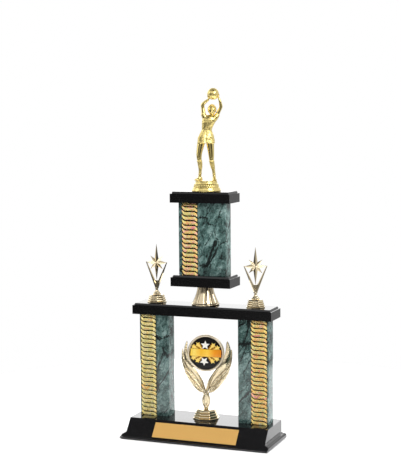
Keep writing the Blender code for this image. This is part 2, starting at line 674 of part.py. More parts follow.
BLACK_GLOSS = make_material("black_gloss", (0.010, 0.010, 0.011), 0.12, 0.0)
FELT = make_material("felt", (0.020, 0.022, 0.020), 0.95, 0.0)
SATIN_GOLD = make_material("satin_gold", (0.70, 0.43, 0.13), 0.35, 1.0)
MARBLE = make_material("green_marble", (0.055, 0.125, 0.110), 0.20, 0.0)
HOLOGRAPHIC_GOLD = make_material("holographic_gold", (0.85, 0.58, 0.16), 0.25, 1.0)
CHAMPAGNE = make_material("champagne_gold", (0.80, 0.70, 0.46), 0.18, 1.0)
FIGURE_GOLD = make_material("bright_gold", (0.86, 0.65, 0.18), 0.20, 1.0)
STEEL = make_material("zinc_steel", (0.55, 0.56, 0.58), 0.35, 1.0)
PRINT_BLACK = make_material("print_black", (0.010, 0.010, 0.010), 0.30, 0.0)
CLEAR_RESIN = make_material("clear_resin", (0.90, 0.90, 0.90), 0.05, 0.0)
CUTTER_FINISH = make_material("guide", (0.5, 0.5, 0.5), 0.5, 0.0)

build_base()
build_felt()
build_engraving_plate()
build_columns()
build_inlays()
build_plates()
build_riser()
build_fasteners()
build_feet()
build_finial("left", -1)
build_finial("right", 1)
build_holder()
build_insert()
build_figure_base()
build_figure()
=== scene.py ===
"""Looks of the two-tier ball-sport trophy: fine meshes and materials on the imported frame."""

from math import cos, exp, pi, radians, sin, sqrt, tau

import bmesh
import bpy
from mathutils import Matrix, Vector, noise


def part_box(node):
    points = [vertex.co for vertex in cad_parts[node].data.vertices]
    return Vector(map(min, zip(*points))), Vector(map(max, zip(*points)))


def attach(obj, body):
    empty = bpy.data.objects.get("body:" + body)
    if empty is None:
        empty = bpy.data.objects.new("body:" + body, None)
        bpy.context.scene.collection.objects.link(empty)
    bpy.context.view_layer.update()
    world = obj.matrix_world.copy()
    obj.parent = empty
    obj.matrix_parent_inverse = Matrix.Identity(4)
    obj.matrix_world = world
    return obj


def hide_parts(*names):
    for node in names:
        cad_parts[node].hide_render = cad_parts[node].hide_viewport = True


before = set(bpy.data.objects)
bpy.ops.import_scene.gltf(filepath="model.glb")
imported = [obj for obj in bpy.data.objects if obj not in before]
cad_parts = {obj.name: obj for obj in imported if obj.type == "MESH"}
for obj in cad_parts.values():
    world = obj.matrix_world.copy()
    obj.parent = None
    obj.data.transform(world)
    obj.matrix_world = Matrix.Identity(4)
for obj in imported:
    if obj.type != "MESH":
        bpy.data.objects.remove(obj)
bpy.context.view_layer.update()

MM = 0.001
BODY = "root"


def middle(node):
    low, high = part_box(node)
    return (Vector(low) + Vector(high)) / 2


def levels(node):
    """The heights of a node's underside and top."""
    low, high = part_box(node)
    return low[2], high[2]


AXIS = Vector((middle("centre_rod").x, middle("centre_rod").y, 0))
TURNED = radians(21.6)      # the figure and the right finial are turned this far from the front
HOLDER_TURN = radians(14)


def configure(thing, **settings):
    for name, value in settings.items():
        setattr(thing, name, value)
    return thing


# ---- shader nodes

class Nodes:
    """A shader tree being built, for a material or for the world."""

    def __init__(self, tree):
        self.tree = tree

    def feed(self, socket, value):
        """Link another node's output to the socket, or set a number, a vector or a colour on it."""
        if isinstance(value, bpy.types.NodeSocket):
            self.tree.links.new(value, socket)
        else:
            socket.default_value = (*value, 1) if socket.type == "RGBA" else value

    def node(self, kind, inputs=(), **settings):
        made = configure(self.tree.nodes.new(kind), **settings)
        for name, value in dict(inputs).items():
            self.feed(made.inputs[name], value)
        return made

    def axis(self, where, name):
        return self.node("ShaderNodeSeparateXYZ", {"Vector": where}).outputs[name]

    def math(self, kind, *values):
        return self.node("ShaderNodeMath", dict(enumerate(values)), operation=kind).outputs["Value"]

    def span(self, value, low, high, to_low, to_high, mode="LINEAR"):
        """The value carried from low-high to to_low-to_high, and held at the ends."""
        inputs = {"Value": value, "From Min": low, "From Max": high, "To Min": to_low, "To Max": to_high}
        return self.node("ShaderNodeMapRange", inputs, interpolation_type=mode).outputs["Result"]

    def ramp(self, value, stops, mode="LINEAR"):
        """stops are (position, colour)."""
        made = self.node("ShaderNodeValToRGB", {"Fac": value})
        made.color_ramp.interpolation = mode
        points = made.color_ramp.elements
        while len(points) < len(stops):
            points.new(0.5)
        for point, (position, colour) in zip(points, stops):
            point.position = position
            point.color = (*colour, 1)
        return made.outputs["Color"]


class Finish(Nodes):
    """A material being built round its Principled shader; values are set on that shader."""

    def __init__(self, name, **values):
        self.material = bpy.data.materials.new(name)
        self.material.use_nodes = True
        super().__init__(self.material.node_tree)
        self.shader = self.tree.nodes["Principled BSDF"]
        for name, value in values.items():
            self.feed(self.shader.inputs[name.replace("_", " ")], value)

    def place(self, scale=(1, 1, 1), turn=(0, 0, 0)):
        """Object coordinates in metres, turned and then scaled."""
        where = self.node("ShaderNodeTexCoord").outputs["Object"]
        turned = self.node("ShaderNodeMapping", {"Vector": where, "Rotation": turn}).outputs["Vector"]
        return self.node("ShaderNodeMapping", {"Vector": turned, "Scale": scale}).outputs["Vector"]

    def noise(self, where, scale, detail=2.0, roughness=0.5, distortion=0.0, output="Fac"):
        inputs = {"Vector": where, "Scale": scale, "Detail": detail, "Roughness": roughness,
                  "Distortion": distortion}
        return self.node("ShaderNodeTexNoise", inputs).outputs[output]

    def mix(self, share, first, second, mode="MIX"):
        factor, colour_a, colour_b, colour_out = 0, 6, 7, 2     # the sockets a colour mix uses
        made = self.node("ShaderNodeMix", data_type="RGBA", blend_type=mode)
        for socket, value in ((factor, share), (colour_a, first), (colour_b, second)):
            self.feed(made.inputs[socket], value)
        return made.outputs[colour_out]

    def colour(self, share, first, second, mode="MIX"):
        self.feed(self.shader.inputs["Base Color"], self.mix(share, first, second, mode))

    def gloss(self, share, low, high, start=0.3, end=0.7):
        """Roughness that goes from low to high while share goes from start to end."""
        self.feed(self.shader.inputs["Roughness"], self.span(share, start, end, low, high))

    def bump(self, height, strength, distance):
        made = self.node("ShaderNodeBump", {"Height": height, "Strength": strength, "Distance": distance})
        self.feed(self.shader.inputs["Normal"], made.outputs["Normal"])


# ---- materials

def mottled(name, tint, dark, light, gloss=None, grain=None, **values):
    """A surface that drifts between two colours.

    tint, and the first part of gloss (noise, low, high) and of grain (noise, strength, depth), are the
    scale, detail and roughness of a noise.
    """
    finish = Finish(name, **values)
    where = finish.place()
    finish.colour(finish.noise(where, *tint), dark, light)
    if gloss:
        finish.gloss(finish.noise(where, *gloss[0]), *gloss[1:])
    if grain:
        finish.bump(finish.noise(where, *grain[0]), *grain[1:])
    return finish.material


def polished_metal(name, colour, low, high, ripple=0.05, scale=600.0, depth=0.00005):
    """Vacuum-metallised moulding: polished, with faint ripples and slightly uneven gloss."""
    return mottled(name, (60, 3), [c * 0.94 for c in colour], colour, ((130, 3), low, high),
                   ((scale, 2), ripple, depth), Metallic=1.0)


def black_lacquer(name, shade, ior):
    """Glossy black with a faint drift in tone and gloss."""
    dark, light = ([c * shade for c in tone] for tone in ((0.7, 0.7, 0.76), (1.2, 1.16, 1.24)))
    return mottled(name, (90, 4), dark, light, ((45, 3), 0.055, 0.095), ((320, 1), 0.05, 0.00008),
                   Metallic=0.0, IOR=ior)


def print_ink(name, dark, light):
    """Printed ink under clear resin: a little mottle under a hard gloss."""
    return mottled(name, (700, 3), dark, light, Metallic=0.0, IOR=1.25, Roughness=0.05)


def figure_gold():
    """The figure's moulding: a cloth grain on dress and socks, a higher polish elsewhere."""
    finish = Finish("figure_gold", Metallic=1.0)
    where = finish.place()
    height = finish.axis(where, "Z")
    dress_part, sock_part = (
        finish.math("MULTIPLY", finish.span(height, *hem, 0, 1), finish.span(height, *upper_edge, 1, 0))
        for hem, upper_edge in (((0.4592, 0.4604), (0.497, 0.501)), ((0.4115, 0.4125), (0.4332, 0.4342))))
    cloth = finish.math("ADD", dress_part, sock_part)
    finish.colour(finish.noise(where, 60, 3), (0.88, 0.71, 0.27), (0.93, 0.75, 0.29))
    finish.gloss(cloth, 0.19, 0.36, 0, 1)
    finish.bump(finish.math("MULTIPLY", finish.noise(where, 430, 3, 0.6), cloth), 0.55, 0.0006)
    return finish.material


def green_marble():
    """Dark green film: cloudy patches, branching black veins on the slant and fine pale crackle."""
    finish = Finish("green_marble", Metallic=0.0, IOR=1.54)
    slant = finish.place(scale=(1, 1, 0.36), turn=(0, radians(-27), 0))
    plain = finish.place()

    def warped(where, scale, reach):
        shift = finish.noise(where, scale, 5, 0.6, output="Color")
        shift = finish.node("ShaderNodeVectorMath", {0: shift, 1: (reach, reach, reach)}, operation="MULTIPLY")
        return finish.node("ShaderNodeVectorMath", {0: where, 1: shift.outputs["Vector"]},
                           operation="ADD").outputs["Vector"]

    def veins(where, scale, often, thin, thick, share, ground):
        """Black lines along a net of cells; a line is left out where its width drifts below zero."""
        edge = finish.node("ShaderNodeTexVoronoi", {"Vector": where, "Scale": scale},
                           feature="DISTANCE_TO_EDGE")
        width = finish.span(finish.noise(plain, often, 2), 0.42, 0.66, thin, thick)
        inside = finish.math("SUBTRACT", width, edge.outputs["Distance"])
        return finish.mix(finish.span(inside, 0, 0.007, 0, share), ground, (0.006, 0.01, 0.009))

    patch = warped(finish.place(scale=(1, 1, 0.62), turn=(0, radians(-30), 0)), 90, 0.012)
    cloud = finish.noise(patch, 95, 12, 0.82, 0.2)
    body = finish.ramp(cloud, ((0.4, (0.011, 0.025, 0.022)), (0.475, (0.04, 0.082, 0.074)),
                               (0.53, (0.092, 0.168, 0.155)), (0.61, (0.25, 0.355, 0.338))))
    # the marble is made paler with height, from the upper column's foot up to 0.31 m; the lower columns keep
    # the plain tone
    paler = finish.span(finish.axis(plain, "Z"), 0.235, 0.31, 0.95, 1.45)
    grey = finish.node("ShaderNodeCombineColor", {"Red": paler, "Green": paler, "Blue": paler}).outputs["Color"]
    body = finish.mix(1, body, grey, "MULTIPLY")
    fleck = finish.span(finish.noise(plain, 620, 4, 0.8), 0.55, 0.66, 0, 0.55)
    body = finish.mix(fleck, body, (0.35, 0.46, 0.44))
    body = veins(warped(slant, 60, 0.016), 25, 30, 0.009, 0.04, 0.95, body)
    body = veins(warped(slant, 130, 0.009), 60, 44, -0.014, 0.058, 0.9, body)
    body = veins(warped(patch, 240, 0.006), 120, 70, -0.05, 0.05, 0.66, body)
    finish.feed(finish.shader.inputs["Base Color"], body)
    finish.gloss(cloud, 0.08, 0.15)
    finish.bump(finish.noise(plain, 260, 2), 0.03, 0.00006)
    return finish.material


STRIP_FACE = -0.0136        # the plane behind the ribs of an inlay, from the axis plane


def holographic_gold(name, hues, painted_glint_share=0.5):
    """Gold film whose patches drift through the given hues, with painted near-white glints; the gaps between
    the ribs are painted near-black as shade.
    """
    finish = Finish(name, Metallic=0.75)
    wide = finish.place(scale=(1, 1, 1.9))
    places = [0.3 + 0.42 * i / (len(hues) - 1) for i in range(len(hues))]
    colour = finish.ramp(finish.noise(wide, 85, 2, 0.5, 0.6), tuple(zip(places, hues)))
    # painted glints: small patches of the film are mixed towards near-white to stand for the foil's sparkle
    painted_glint = finish.span(finish.noise(wide, 240, 1), 0.58, 0.72, 0, painted_glint_share)
    # painted shade: the deepest parts of the gaps between the ribs are coloured near-black, where the ribs
    # shade each other
    painted_gap_shade = finish.span(finish.axis(finish.place(), "Y"), STRIP_FACE - 0.00064, STRIP_FACE - 0.00048, 0, 0.97)
    # near-black painted shade in the gaps, over the film with its painted glints
    finish.colour(painted_gap_shade, finish.mix(painted_glint, colour, (1, 0.94, 0.72)), (0.01, 0.016, 0.01))
    finish.gloss(finish.noise(wide, 180, 2), 0.2, 0.32)
    finish.bump(finish.noise(wide, 700, 1), 0.1, 0.00006)
    return finish.material


def brushed_gold_sheet():
    """Satin gold sheet with fine scratches along its length."""
    finish = Finish("brushed_gold_sheet", Metallic=0.55, Anisotropic=0.3)
    scratch = finish.noise(finish.place(scale=(0.04, 1, 1)), 5200, 2, 0.7)
    finish.colour(scratch, (0.79, 0.445, 0.125), (0.86, 0.53, 0.165))
    finish.gloss(scratch, 0.4, 0.54, 0.2, 0.8)
    finish.bump(scratch, 0.1, 0.00003)
    return finish.material


def zinc_plate():
    finish = Finish("zinc_plate", Metallic=1.0)
    where = finish.place()
    patch = finish.node("ShaderNodeTexVoronoi", {"Vector": where, "Scale": 700}).outputs["Color"]
    finish.colour(patch, (0.47, 0.49, 0.52), (0.62, 0.63, 0.64))
    finish.gloss(finish.noise(where, 500, 3), 0.26, 0.42)
    return finish.material


def band_ink(width):
    """Ink that runs from yellow at the left to orange at the right."""
    finish = Finish("band_ink", Metallic=0.0, IOR=1.36, Roughness=0.05)
    where = finish.place()
    share = finish.span(finish.axis(where, "X"), -width / 2, width / 2, 0, 1)
    run = finish.ramp(share, ((0, (0.95, 0.72, 0.1)), (0.12, (1, 0.88, 0.28)), (0.35, (0.93, 0.6, 0.07)),
                              (0.55, (0.98, 0.72, 0.12)), (0.78, (0.86, 0.36, 0.02)), (1, (0.8, 0.3, 0.02))))
    finish.colour(finish.noise(where, 700, 3), run, (0.95, 0.66, 0.12), "MULTIPLY")
    return finish.material


YELLOW, PALE_YELLOW, OLIVE = (1, 0.76, 0.24), (1, 0.88, 0.46), (0.72, 0.7, 0.28)
ORANGE, PINK, ROSE = (0.98, 0.52, 0.16), (1, 0.56, 0.48), (0.95, 0.32, 0.34)

CHAMPAGNE = polished_metal("champagne_gold", (0.79, 0.67, 0.45), 0.08, 0.15)
BRIGHT_GOLD = polished_metal("bright_gold", (0.93, 0.75, 0.29), 0.24, 0.34)
FIGURE_GOLD = figure_gold()
RIPPLED_CHAMPAGNE = polished_metal("rippled_champagne", (0.67, 0.57, 0.385), 0.06, 0.11, 1, 480, 0.0003)
DEEP_CHAMPAGNE = polished_metal("deep_champagne", (0.68, 0.57, 0.39), 0.06, 0.11)
SATIN_CHAMPAGNE = polished_metal("satin_champagne", (0.72, 0.63, 0.48), 0.28, 0.38)
LACQUER = black_lacquer("black_lacquer", 0.0043, 1.5)
BASE_LACQUER = black_lacquer("base_lacquer", 0.0085, 1.58)
MARBLE = green_marble()
STRIP_GOLD = {f"{place}_column_inlay": holographic_gold(f"holographic_gold_{place}", hues) for place, hues in (
    ("left", (ORANGE, YELLOW, PALE_YELLOW, YELLOW, OLIVE, PALE_YELLOW, ORANGE)),
    ("right", (ROSE, YELLOW, ORANGE, YELLOW, OLIVE, ORANGE, ROSE)),
    ("upper", (ROSE, ORANGE, YELLOW, OLIVE, ORANGE, PINK, ORANGE, OLIVE)))}
SHEET_GOLD = brushed_gold_sheet()
ZINC = zinc_plate()
FELT = mottled("black_felt", (3000, 3, 0.8), (0.01, 0.011, 0.01), (0.035, 0.037, 0.035),
               grain=((3000, 3, 0.8), 0.6, 0.0002), Metallic=0.0, Roughness=0.95, Sheen_Weight=0.4)
BLACK_INK = print_ink("black_ink", (0.004, 0.004, 0.004), (0.01, 0.01, 0.01))
WHITE_INK = print_ink("white_ink", (0.86, 0.84, 0.76), (0.95, 0.94, 0.88))
GOLD_INK = print_ink("gold_ink", (0.9, 0.58, 0.08), (1, 0.78, 0.24))
DARK_GOLD_INK = print_ink("dark_gold_ink", (0.24, 0.09, 0.005), (0.38, 0.16, 0.012))


# ---- mesh helpers

def add_object(name, data):
    item = bpy.data.objects.new(name, data)
    bpy.context.scene.collection.objects.link(item)
    return item


def mesh_from(shape, name):
    """A mesh from a bmesh, its faces looking outwards; the bmesh is used up."""
    bmesh.ops.recalc_face_normals(shape, faces=shape.faces[:])
    mesh = bpy.data.meshes.new(name)
    shape.to_mesh(mesh)
    shape.free()
    return mesh


def make_piece(name, shape, material, stands_for=(), turn=0.0, x=0.0, smooth=30.0):
    """Turn a bmesh drawn round the trophy's axis into a piece of the object."""
    mesh = mesh_from(shape, name)
    mesh.shade_smooth()
    if smooth < 180:
        mesh.set_sharp_from_angle(angle=radians(smooth))
    mesh.materials.append(material)
    piece = add_object(name, mesh)
    piece.location = AXIS + Vector((x, 0, 0))
    piece.rotation_euler = (0, 0, turn)
    bpy.context.view_layer.update()
    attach(piece, BODY)
    if stands_for:
        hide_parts(*stands_for)


def add_modifier(item, kind, **settings):
    configure(item.modifiers.new(kind.lower(), kind), **settings)


def dress_node(node, material, bevel=0.0):
    """Give a CAD node its finish and rounded edges."""
    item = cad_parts[node]
    item.data.materials.clear()
    item.data.materials.append(material)
    if bevel:
        add_modifier(item, "DECIMATE", decimate_type="DISSOLVE", angle_limit=radians(1))
        add_modifier(item, "BEVEL", width=bevel, segments=3, limit_method="ANGLE", angle_limit=radians(20))
        add_modifier(item, "WEIGHTED_NORMAL", weight=100)


def angles(sides):
    """Evenly spaced angles round a circle."""
    return [tau * i / sides for i in range(sides)]


def loft(rings, closed=True, loop=False):
    """A skin through rings of points; a loop joins the last ring to the first."""
    shape = bmesh.new()
    rows = [[shape.verts.new(point) for point in ring] for ring in rings]
    following = rows[1:] + rows[:1] if loop else rows[1:]
    for row, beyond in zip(rows, following):
        for i in range(len(row)):
            j = (i + 1) % len(row)
            shape.faces.new((row[i], row[j], beyond[j], beyond[i]))
    if closed and not loop:
        shape.faces.new(rows[0])
        shape.faces.new(rows[-1])
    return shape


def evaluated(shape, add_modifiers):
    """A bmesh after the modifiers that add_modifiers(object) puts on it; it lists the helpers it adds."""
    item = add_object("working", mesh_from(shape, "working"))
    helpers = add_modifiers(item) or []
    bpy.context.view_layer.update()
    done = bpy.data.meshes.new_from_object(item.evaluated_get(bpy.context.evaluated_depsgraph_get()))
    result = bmesh.new()
    result.from_mesh(done)
    bpy.data.meshes.remove(done)
    for used in [item] + helpers:
        used_mesh = used.data
        bpy.data.objects.remove(used)
        bpy.data.meshes.remove(used_mesh)
    return result


def united(shapes):
    """One closed shape from several overlapping closed ones, with crisp joins."""
    enlarge = Matrix.Scale(1 / MM, 4)       # the Boolean's tolerances suit millimetres
    for shape in shapes:
        shape.transform(enlarge)

    def join(item):
        others = []
        for number, shape in enumerate(shapes[1:]):
            other = add_object(f"other_{number}", mesh_from(shape, f"other_{number}"))
            add_modifier(item, "BOOLEAN", operation="UNION", object=other, solver="EXACT")
            others.append(other)
        return others
    whole = evaluated(shapes[0], join)
    whole.transform(Matrix.Scale(MM, 4))
    return whole


def one_skin(shapes, voxel, rounds):
    """One smooth closed skin round several overlapping closed shapes."""
    whole = bmesh.new()
    for shape in shapes:
        mesh = mesh_from(shape, "shell")
        whole.from_mesh(mesh)
        bpy.data.meshes.remove(mesh)

    def skin(item):
        add_modifier(item, "REMESH", mode="VOXEL", voxel_size=voxel)
        add_modifier(item, "SMOOTH", factor=0.5, iterations=rounds)
    return evaluated(whole, skin)


def curve(stations, steps):
    """Points on a smooth curve through the stations, any number of values each, ends included."""
    rows = [stations[0]] + list(stations) + [stations[-1]]
    made = []
    for i in range(1, len(rows) - 2):
        for k in range(steps):
            t = k / steps
            made.append([0.5 * (2 * q + (r - p) * t + (2 * p - 5 * q + 4 * r - e) * t * t
                                + (3 * q - p - 3 * r + e) * t ** 3) for p, q, r, e in zip(*rows[i - 1:i + 3])])
    made.append(list(stations[-1]))
    return made


def tube_path(stations, sides=16):
    """A round-ended tube in metres through (x, y, z, radius) stations in millimetres."""
    rows = [(Vector(s[:3]) * MM, s[3] * MM) for s in stations]

    def cap(end, beside):
        """The rows that round an end off, from that end outwards."""
        point, radius = end
        way = (point - beside[0]).normalized()
        return [(point + way * radius * out, radius * share)
                for out, share in ((0.35, 0.94), (0.72, 0.69), (0.95, 0.31))]

    rows = cap(rows[0], rows[1])[::-1] + rows + cap(rows[-1], rows[-2])
    across = None
    rings = []
    for i, (point, radius) in enumerate(rows):
        ahead = (rows[min(i + 1, len(rows) - 1)][0] - rows[max(i - 1, 0)][0]).normalized()
        if across is None:
            across = ahead.cross(Vector((0, 1, 0)) if abs(ahead.y) < 0.9 else Vector((1, 0, 0)))
        across = (across - across.dot(ahead) * ahead).normalized()
        other = ahead.cross(across)
        rings.append([point + radius * (cos(angle) * across + sin(angle) * other) for angle in angles(sides)])
    return loft(rings)


def ball_shape(centre, radii):
    """An ellipsoid; centre and radii in millimetres."""
    shape = bmesh.new()
    bmesh.ops.create_icosphere(shape, subdivisions=3, radius=1.0)
    shape.transform(Matrix.Translation(Vector(centre) * MM) @ Matrix.Diagonal((*(Vector(radii) * MM), 1)))
    return shape


def ring_points(radius_at, z, sides):
    """Points round the Z axis at radius_at(angle)."""
    return [(radius_at(angle) * cos(angle), radius_at(angle) * sin(angle), z) for angle in angles(sides)]


def upright_ring(radius, y, sides, centre_z):
    """Points round a level axis that runs from front to back."""
    return [(radius * cos(angle), y, centre_z + radius * sin(angle)) for angle in angles(sides)]


# ---- columns and inlays

def rounded_rectangle(half_x, half_y, front_radius, back_radius, z, steps=9):
    """A level outline whose front and back corners have their own radius."""
    points = []
    for quarter, (side_x, side_y) in enumerate(((1, -1), (1, 1), (-1, 1), (-1, -1))):
        radius = front_radius if side_y < 0 else back_radius
        for i in range(steps + 1):
            angle = (quarter - 1) * pi / 2 + (pi / 2) * i / steps
            points.append((side_x * (half_x - radius) + radius * cos(angle),
                           side_y * (half_y - radius) + radius * sin(angle), z))
    return points


def build_columns():
    wall, front_corner, back_corner = 0.0024, 0.0018, 0.0046
    for node in ("left_column", "right_column", "upper_column"):
        low, high = (Vector(c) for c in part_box(node))
        half_x, half_y = (high.x - low.x) / 2, (high.y - low.y) / 2
        heights = [low.z + (high.z - low.z) * i / 12 for i in range(13)]
        rings = [rounded_rectangle(half_x, half_y, front_corner, back_corner, z) for z in heights]
        rings += [rounded_rectangle(half_x - wall, half_y - wall, front_corner / 2, back_corner - wall, z)
                  for z in reversed(heights)]
        make_piece(f"{node}_marble", loft(rings, loop=True), MARBLE, (node,), x=middle(node).x)


def rib_slide(x, half_width):
    """How far the ribs run up at their left ends and down at their right ends."""
    bend, rise = 0.0054, 0.0034
    over = max(0, abs(x) - (half_width - bend)) / bend
    return -rise * over ** 1.4 * (1 if x > 0 else -1)


def ribbed_strip(width, bottom, top, pitch, backing, rib):
    """A strip of rounded ribs with narrow deep gaps between them."""
    profile = ((0, 0), (0.19, 0), (0.2, 0.45), (0.22, 0.8), (0.25, 0.97), (0.29, 1), (0.36, 0.92),
               (0.48, 0.76), (0.6, 0.6), (0.72, 0.44), (0.84, 0.28), (0.88, 0.2), (0.91, 0.02))
    half = width / 2
    count = round((top - bottom) / pitch)
    pitch = (top - bottom) / (count - 0.3)
    rings = []
    columns = 44
    for i in range(columns + 1):
        x = -half * cos(pi * i / columns)       # columns are closer together near the ends
        lift = rib_slide(x, half)
        fade = min(1, 0.35 + (half - abs(x)) / 0.0022)
        taper = max(0, 1 - (x + half) / 0.0026) * 0.55 + max(0, 1 - (half - x) / 0.0016) * 0.25
        outline = [(x, STRIP_FACE, bottom - 1.2 * pitch + lift), (x, STRIP_FACE, top + 1.3 * pitch + lift)]
        for k in reversed(range(-1, count + 1)):
            for share, height in reversed(profile):
                level = k - 0.2 + share + (1 - share) * taper * min(1, share / 0.15)
                outline.append((x, STRIP_FACE - backing - rib * height * fade, bottom + level * pitch + lift))
        rings.append(outline)
    shape = loft(rings)
    bmesh.ops.recalc_face_normals(shape, faces=shape.faces[:])
    for z, up in ((bottom, -1), (top, 1)):
        bmesh.ops.bisect_plane(shape, geom=shape.verts[:] + shape.edges[:] + shape.faces[:], plane_co=(0, 0, z),
                               plane_no=(0, 0, up), clear_outer=True)
        bmesh.ops.holes_fill(shape, edges=[e for e in shape.edges if e.is_boundary])
    return shape


def build_inlays():
    for node, material in STRIP_GOLD.items():
        low, high = (Vector(c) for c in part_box(node))
        shape = ribbed_strip(high.x - low.x, low.z, high.z, 0.0069, 0.0003, 0.0016)
        make_piece(f"{node}_ribs", shape, material, (node,), x=middle(node).x, smooth=50)


# ---- riser, feet, finials

def build_riser():
    """A bell of twelve rounded flutes that end in beads on the deck."""
    low, high = (Vector(c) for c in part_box("riser"))
    sides, flutes = 288, 12
    stations = ((0, 20.9, 0.4), (0.5, 21.9, 0.8), (1.4, 22.2, 1.1), (2.2, 21.9, 1.1), (2.9, 21, 0.8),
                (3.5, 20.5, 0.7), (5.2, 19.8, 1.3), (9, 18, 1.3), (14.5, 15.7, 1), (20, 13.9, 0.8),
                (26, 12.5, 0.6), (29, 12.1, 0.5))
    height = (high.z - low.z) / MM
    rings = []
    for z, radius, depth in curve(stations, 4):
        def radius_at(angle):
            off = (angle * flutes / tau + 0.5) % 1 - 0.5      # from -0.5 to 0.5 across one flute
            flat = cos(pi / flutes) / cos(off * tau / flutes)
            groove = max(0, (abs(off) - 0.34) / 0.16) ** 1.5
            return radius * MM * (0.35 + 0.65 * flat) - depth * MM * groove
        rings.append(ring_points(radius_at, low.z + min(z / 29, 1) * height * MM, sides))
    inside = ((9.6, 29.4), (9.6, 26), (12.4, 14.5), (16, 5), (18, 0))
    for radius, z in inside:
        rings.append(ring_points(lambda angle: radius * MM, low.z + z / 29.4 * height * MM, sides))
    make_piece("riser_bell", loft(rings, loop=True), DEEP_CHAMPAGNE, ("riser",), smooth=40)


def octagon(radius, z, phase, corner=0.1, steps=3):
    """Eight sides with slightly rounded corners; radius is to the corners."""
    points = []
    for i in range(8):
        middle_angle = i * pi / 4 + phase
        for k in range(steps + 1):
            share = (k / steps - 0.5) * 2
            angle = middle_angle + share * corner
            if abs(share) > 0.99:       # the ends of a corner lie on the flat sides
                reach = radius * (cos(pi / 8) / cos(pi / 8 - abs(share) * corner))
            else:
                reach = radius * (1 - 0.018 * (1 - share * share))
            points.append((reach * cos(angle), reach * sin(angle), z))
    return points


def tiered_foot(bottom, top, widest, narrowest, phase):
    """Three eight-sided rounded steps over a thin lip, with grooves between them."""
    steps = [(0, 0.94), (0.02, 1), (0.085, 1), (0.125, 0.9), (0.15, 0.7), (0.168, 0.6)]
    for start, out in ((0.175, 0.7), (0.43, 0.46), (0.685, 0.22)):
        steps += [(start, out - 0.07), (start + 0.03, out + 0.04), (start + 0.075, out + 0.09),
                  (start + 0.13, out + 0.07), (start + 0.185, out), (start + 0.225, out - 0.12),
                  (start + 0.245, out - 0.2)]
    steps += [(0.945, 0.02), (1, -0.1)]
    rings = []
    for up, out in steps:
        radius = narrowest + (widest - narrowest) * out
        rings.append(octagon(radius, bottom + (top - bottom) * up, phase))
    bore = 0.0036
    for radius, z in ((bore, top), (bore, top - 0.002), (widest - 0.006, bottom)):
        rings.append(octagon(radius, z, phase))
    return loft(rings, loop=True)


def star_shape(star_z):
    """Eight ridged points round a raised centre, in the XZ plane; the upright pair is the longest."""
    lengths = (30.3, 14.8, 17.3, 14.8, 28.7, 14.8, 17.3, 14.8)
    root, depth = 7.1, 2.7
    shape = bmesh.new()
    rim = []
    for i, length in enumerate(lengths):
        side = 1 if i % 4 in (0, 2) else -1
        for reach, angle in ((length, i * pi / 4), (root, (i + 0.5 + 0.1 * side) * pi / 4)):
            rim.append(shape.verts.new((reach * sin(angle) * MM, 0, star_z + reach * cos(angle) * MM)))
    for side in (-1, 1):
        centre = shape.verts.new((0, side * depth * MM, star_z))
        for a, b in zip(rim, rim[1:] + rim[:1]):
            shape.faces.new((a, b, centre))
    return shape


def arm(start, end, start_half, end_half, start_depth, end_depth):
    """A ridged bar in the XZ plane that widens towards its end; all in metres."""
    a, b = Vector(start), Vector(end)
    along = (b - a).normalized()
    across = along.cross(Vector((0, 1, 0)))
    rings = []
    for point, half, depth in ((a, start_half, start_depth), (b, end_half, end_depth)):
        rings.append([point + half * wide * across + Vector((0, depth * deep, 0))
                      for wide, deep in ((1, 0), (0.55, 1), (-0.55, 1), (-1, 0), (-0.55, -1), (0.55, -1))])
    return loft(rings)


def twisted_neck(bottom, top):
    """A cone of six rounded lobes that turn as they rise, with two collars."""
    stations = ((0, 6.6), (0.05, 6.8), (0.09, 6.2), (0.12, 5.1), (0.17, 4.7), (0.22, 4.5), (0.27, 3.6),
                (0.36, 2.7), (0.46, 2.2), (0.55, 2.2), (0.62, 2.9), (0.68, 3), (0.75, 2.3), (0.88, 2), (1, 1.4))
    sides, lobes = 72, 6
    rings = []
    for up, radius in curve(stations, 4):
        lean = radians(95) * up

        def radius_at(angle):
            return radius * MM * (1 - 0.16 * (1 - abs(cos(lobes / 2 * (angle - lean)))))
        rings.append(ring_points(radius_at, bottom + (top - bottom) * min(1, up), sides))
    return loft(rings)


def build_finials():
    for side, turn in (("left", 0), ("right", TURNED)):
        foot, star = f"{side}_finial_foot", f"{side}_finial_star"
        make_piece(f"{foot}_steps", tiered_foot(*levels(foot), 0.0154, 0.0112, pi / 8), CHAMPAGNE,
                   (foot,), turn=turn, x=middle(foot).x)
        bottom, top = levels(star)
        star_z = top - 0.0303
        crook_z = star_z - 0.0347
        shapes = [twisted_neck(bottom, crook_z)]
        for end in (-1, 1):
            shapes.append(arm((end * 0.0176, 0, star_z + 0.0008), (end * -0.0008, 0, crook_z - 0.007),
                              0.0007, 0.0029, 0.001, 0.0027))
        shapes.append(loft([[(0.0038, y, crook_z + 0.0066), (-0.0036, y, crook_z + 0.0065),
                             (0.0001, y * 0.9, crook_z - 0.0036)] for y in (-0.00123, 0.00119)]))
        shapes.append(star_shape(star_z))
        make_piece(f"{star}_star", united(shapes), CHAMPAGNE, (star,), turn=turn,
                   x=middle(foot).x, smooth=26)


# ---- insert holder

RING_Z = middle("insert_disc").z


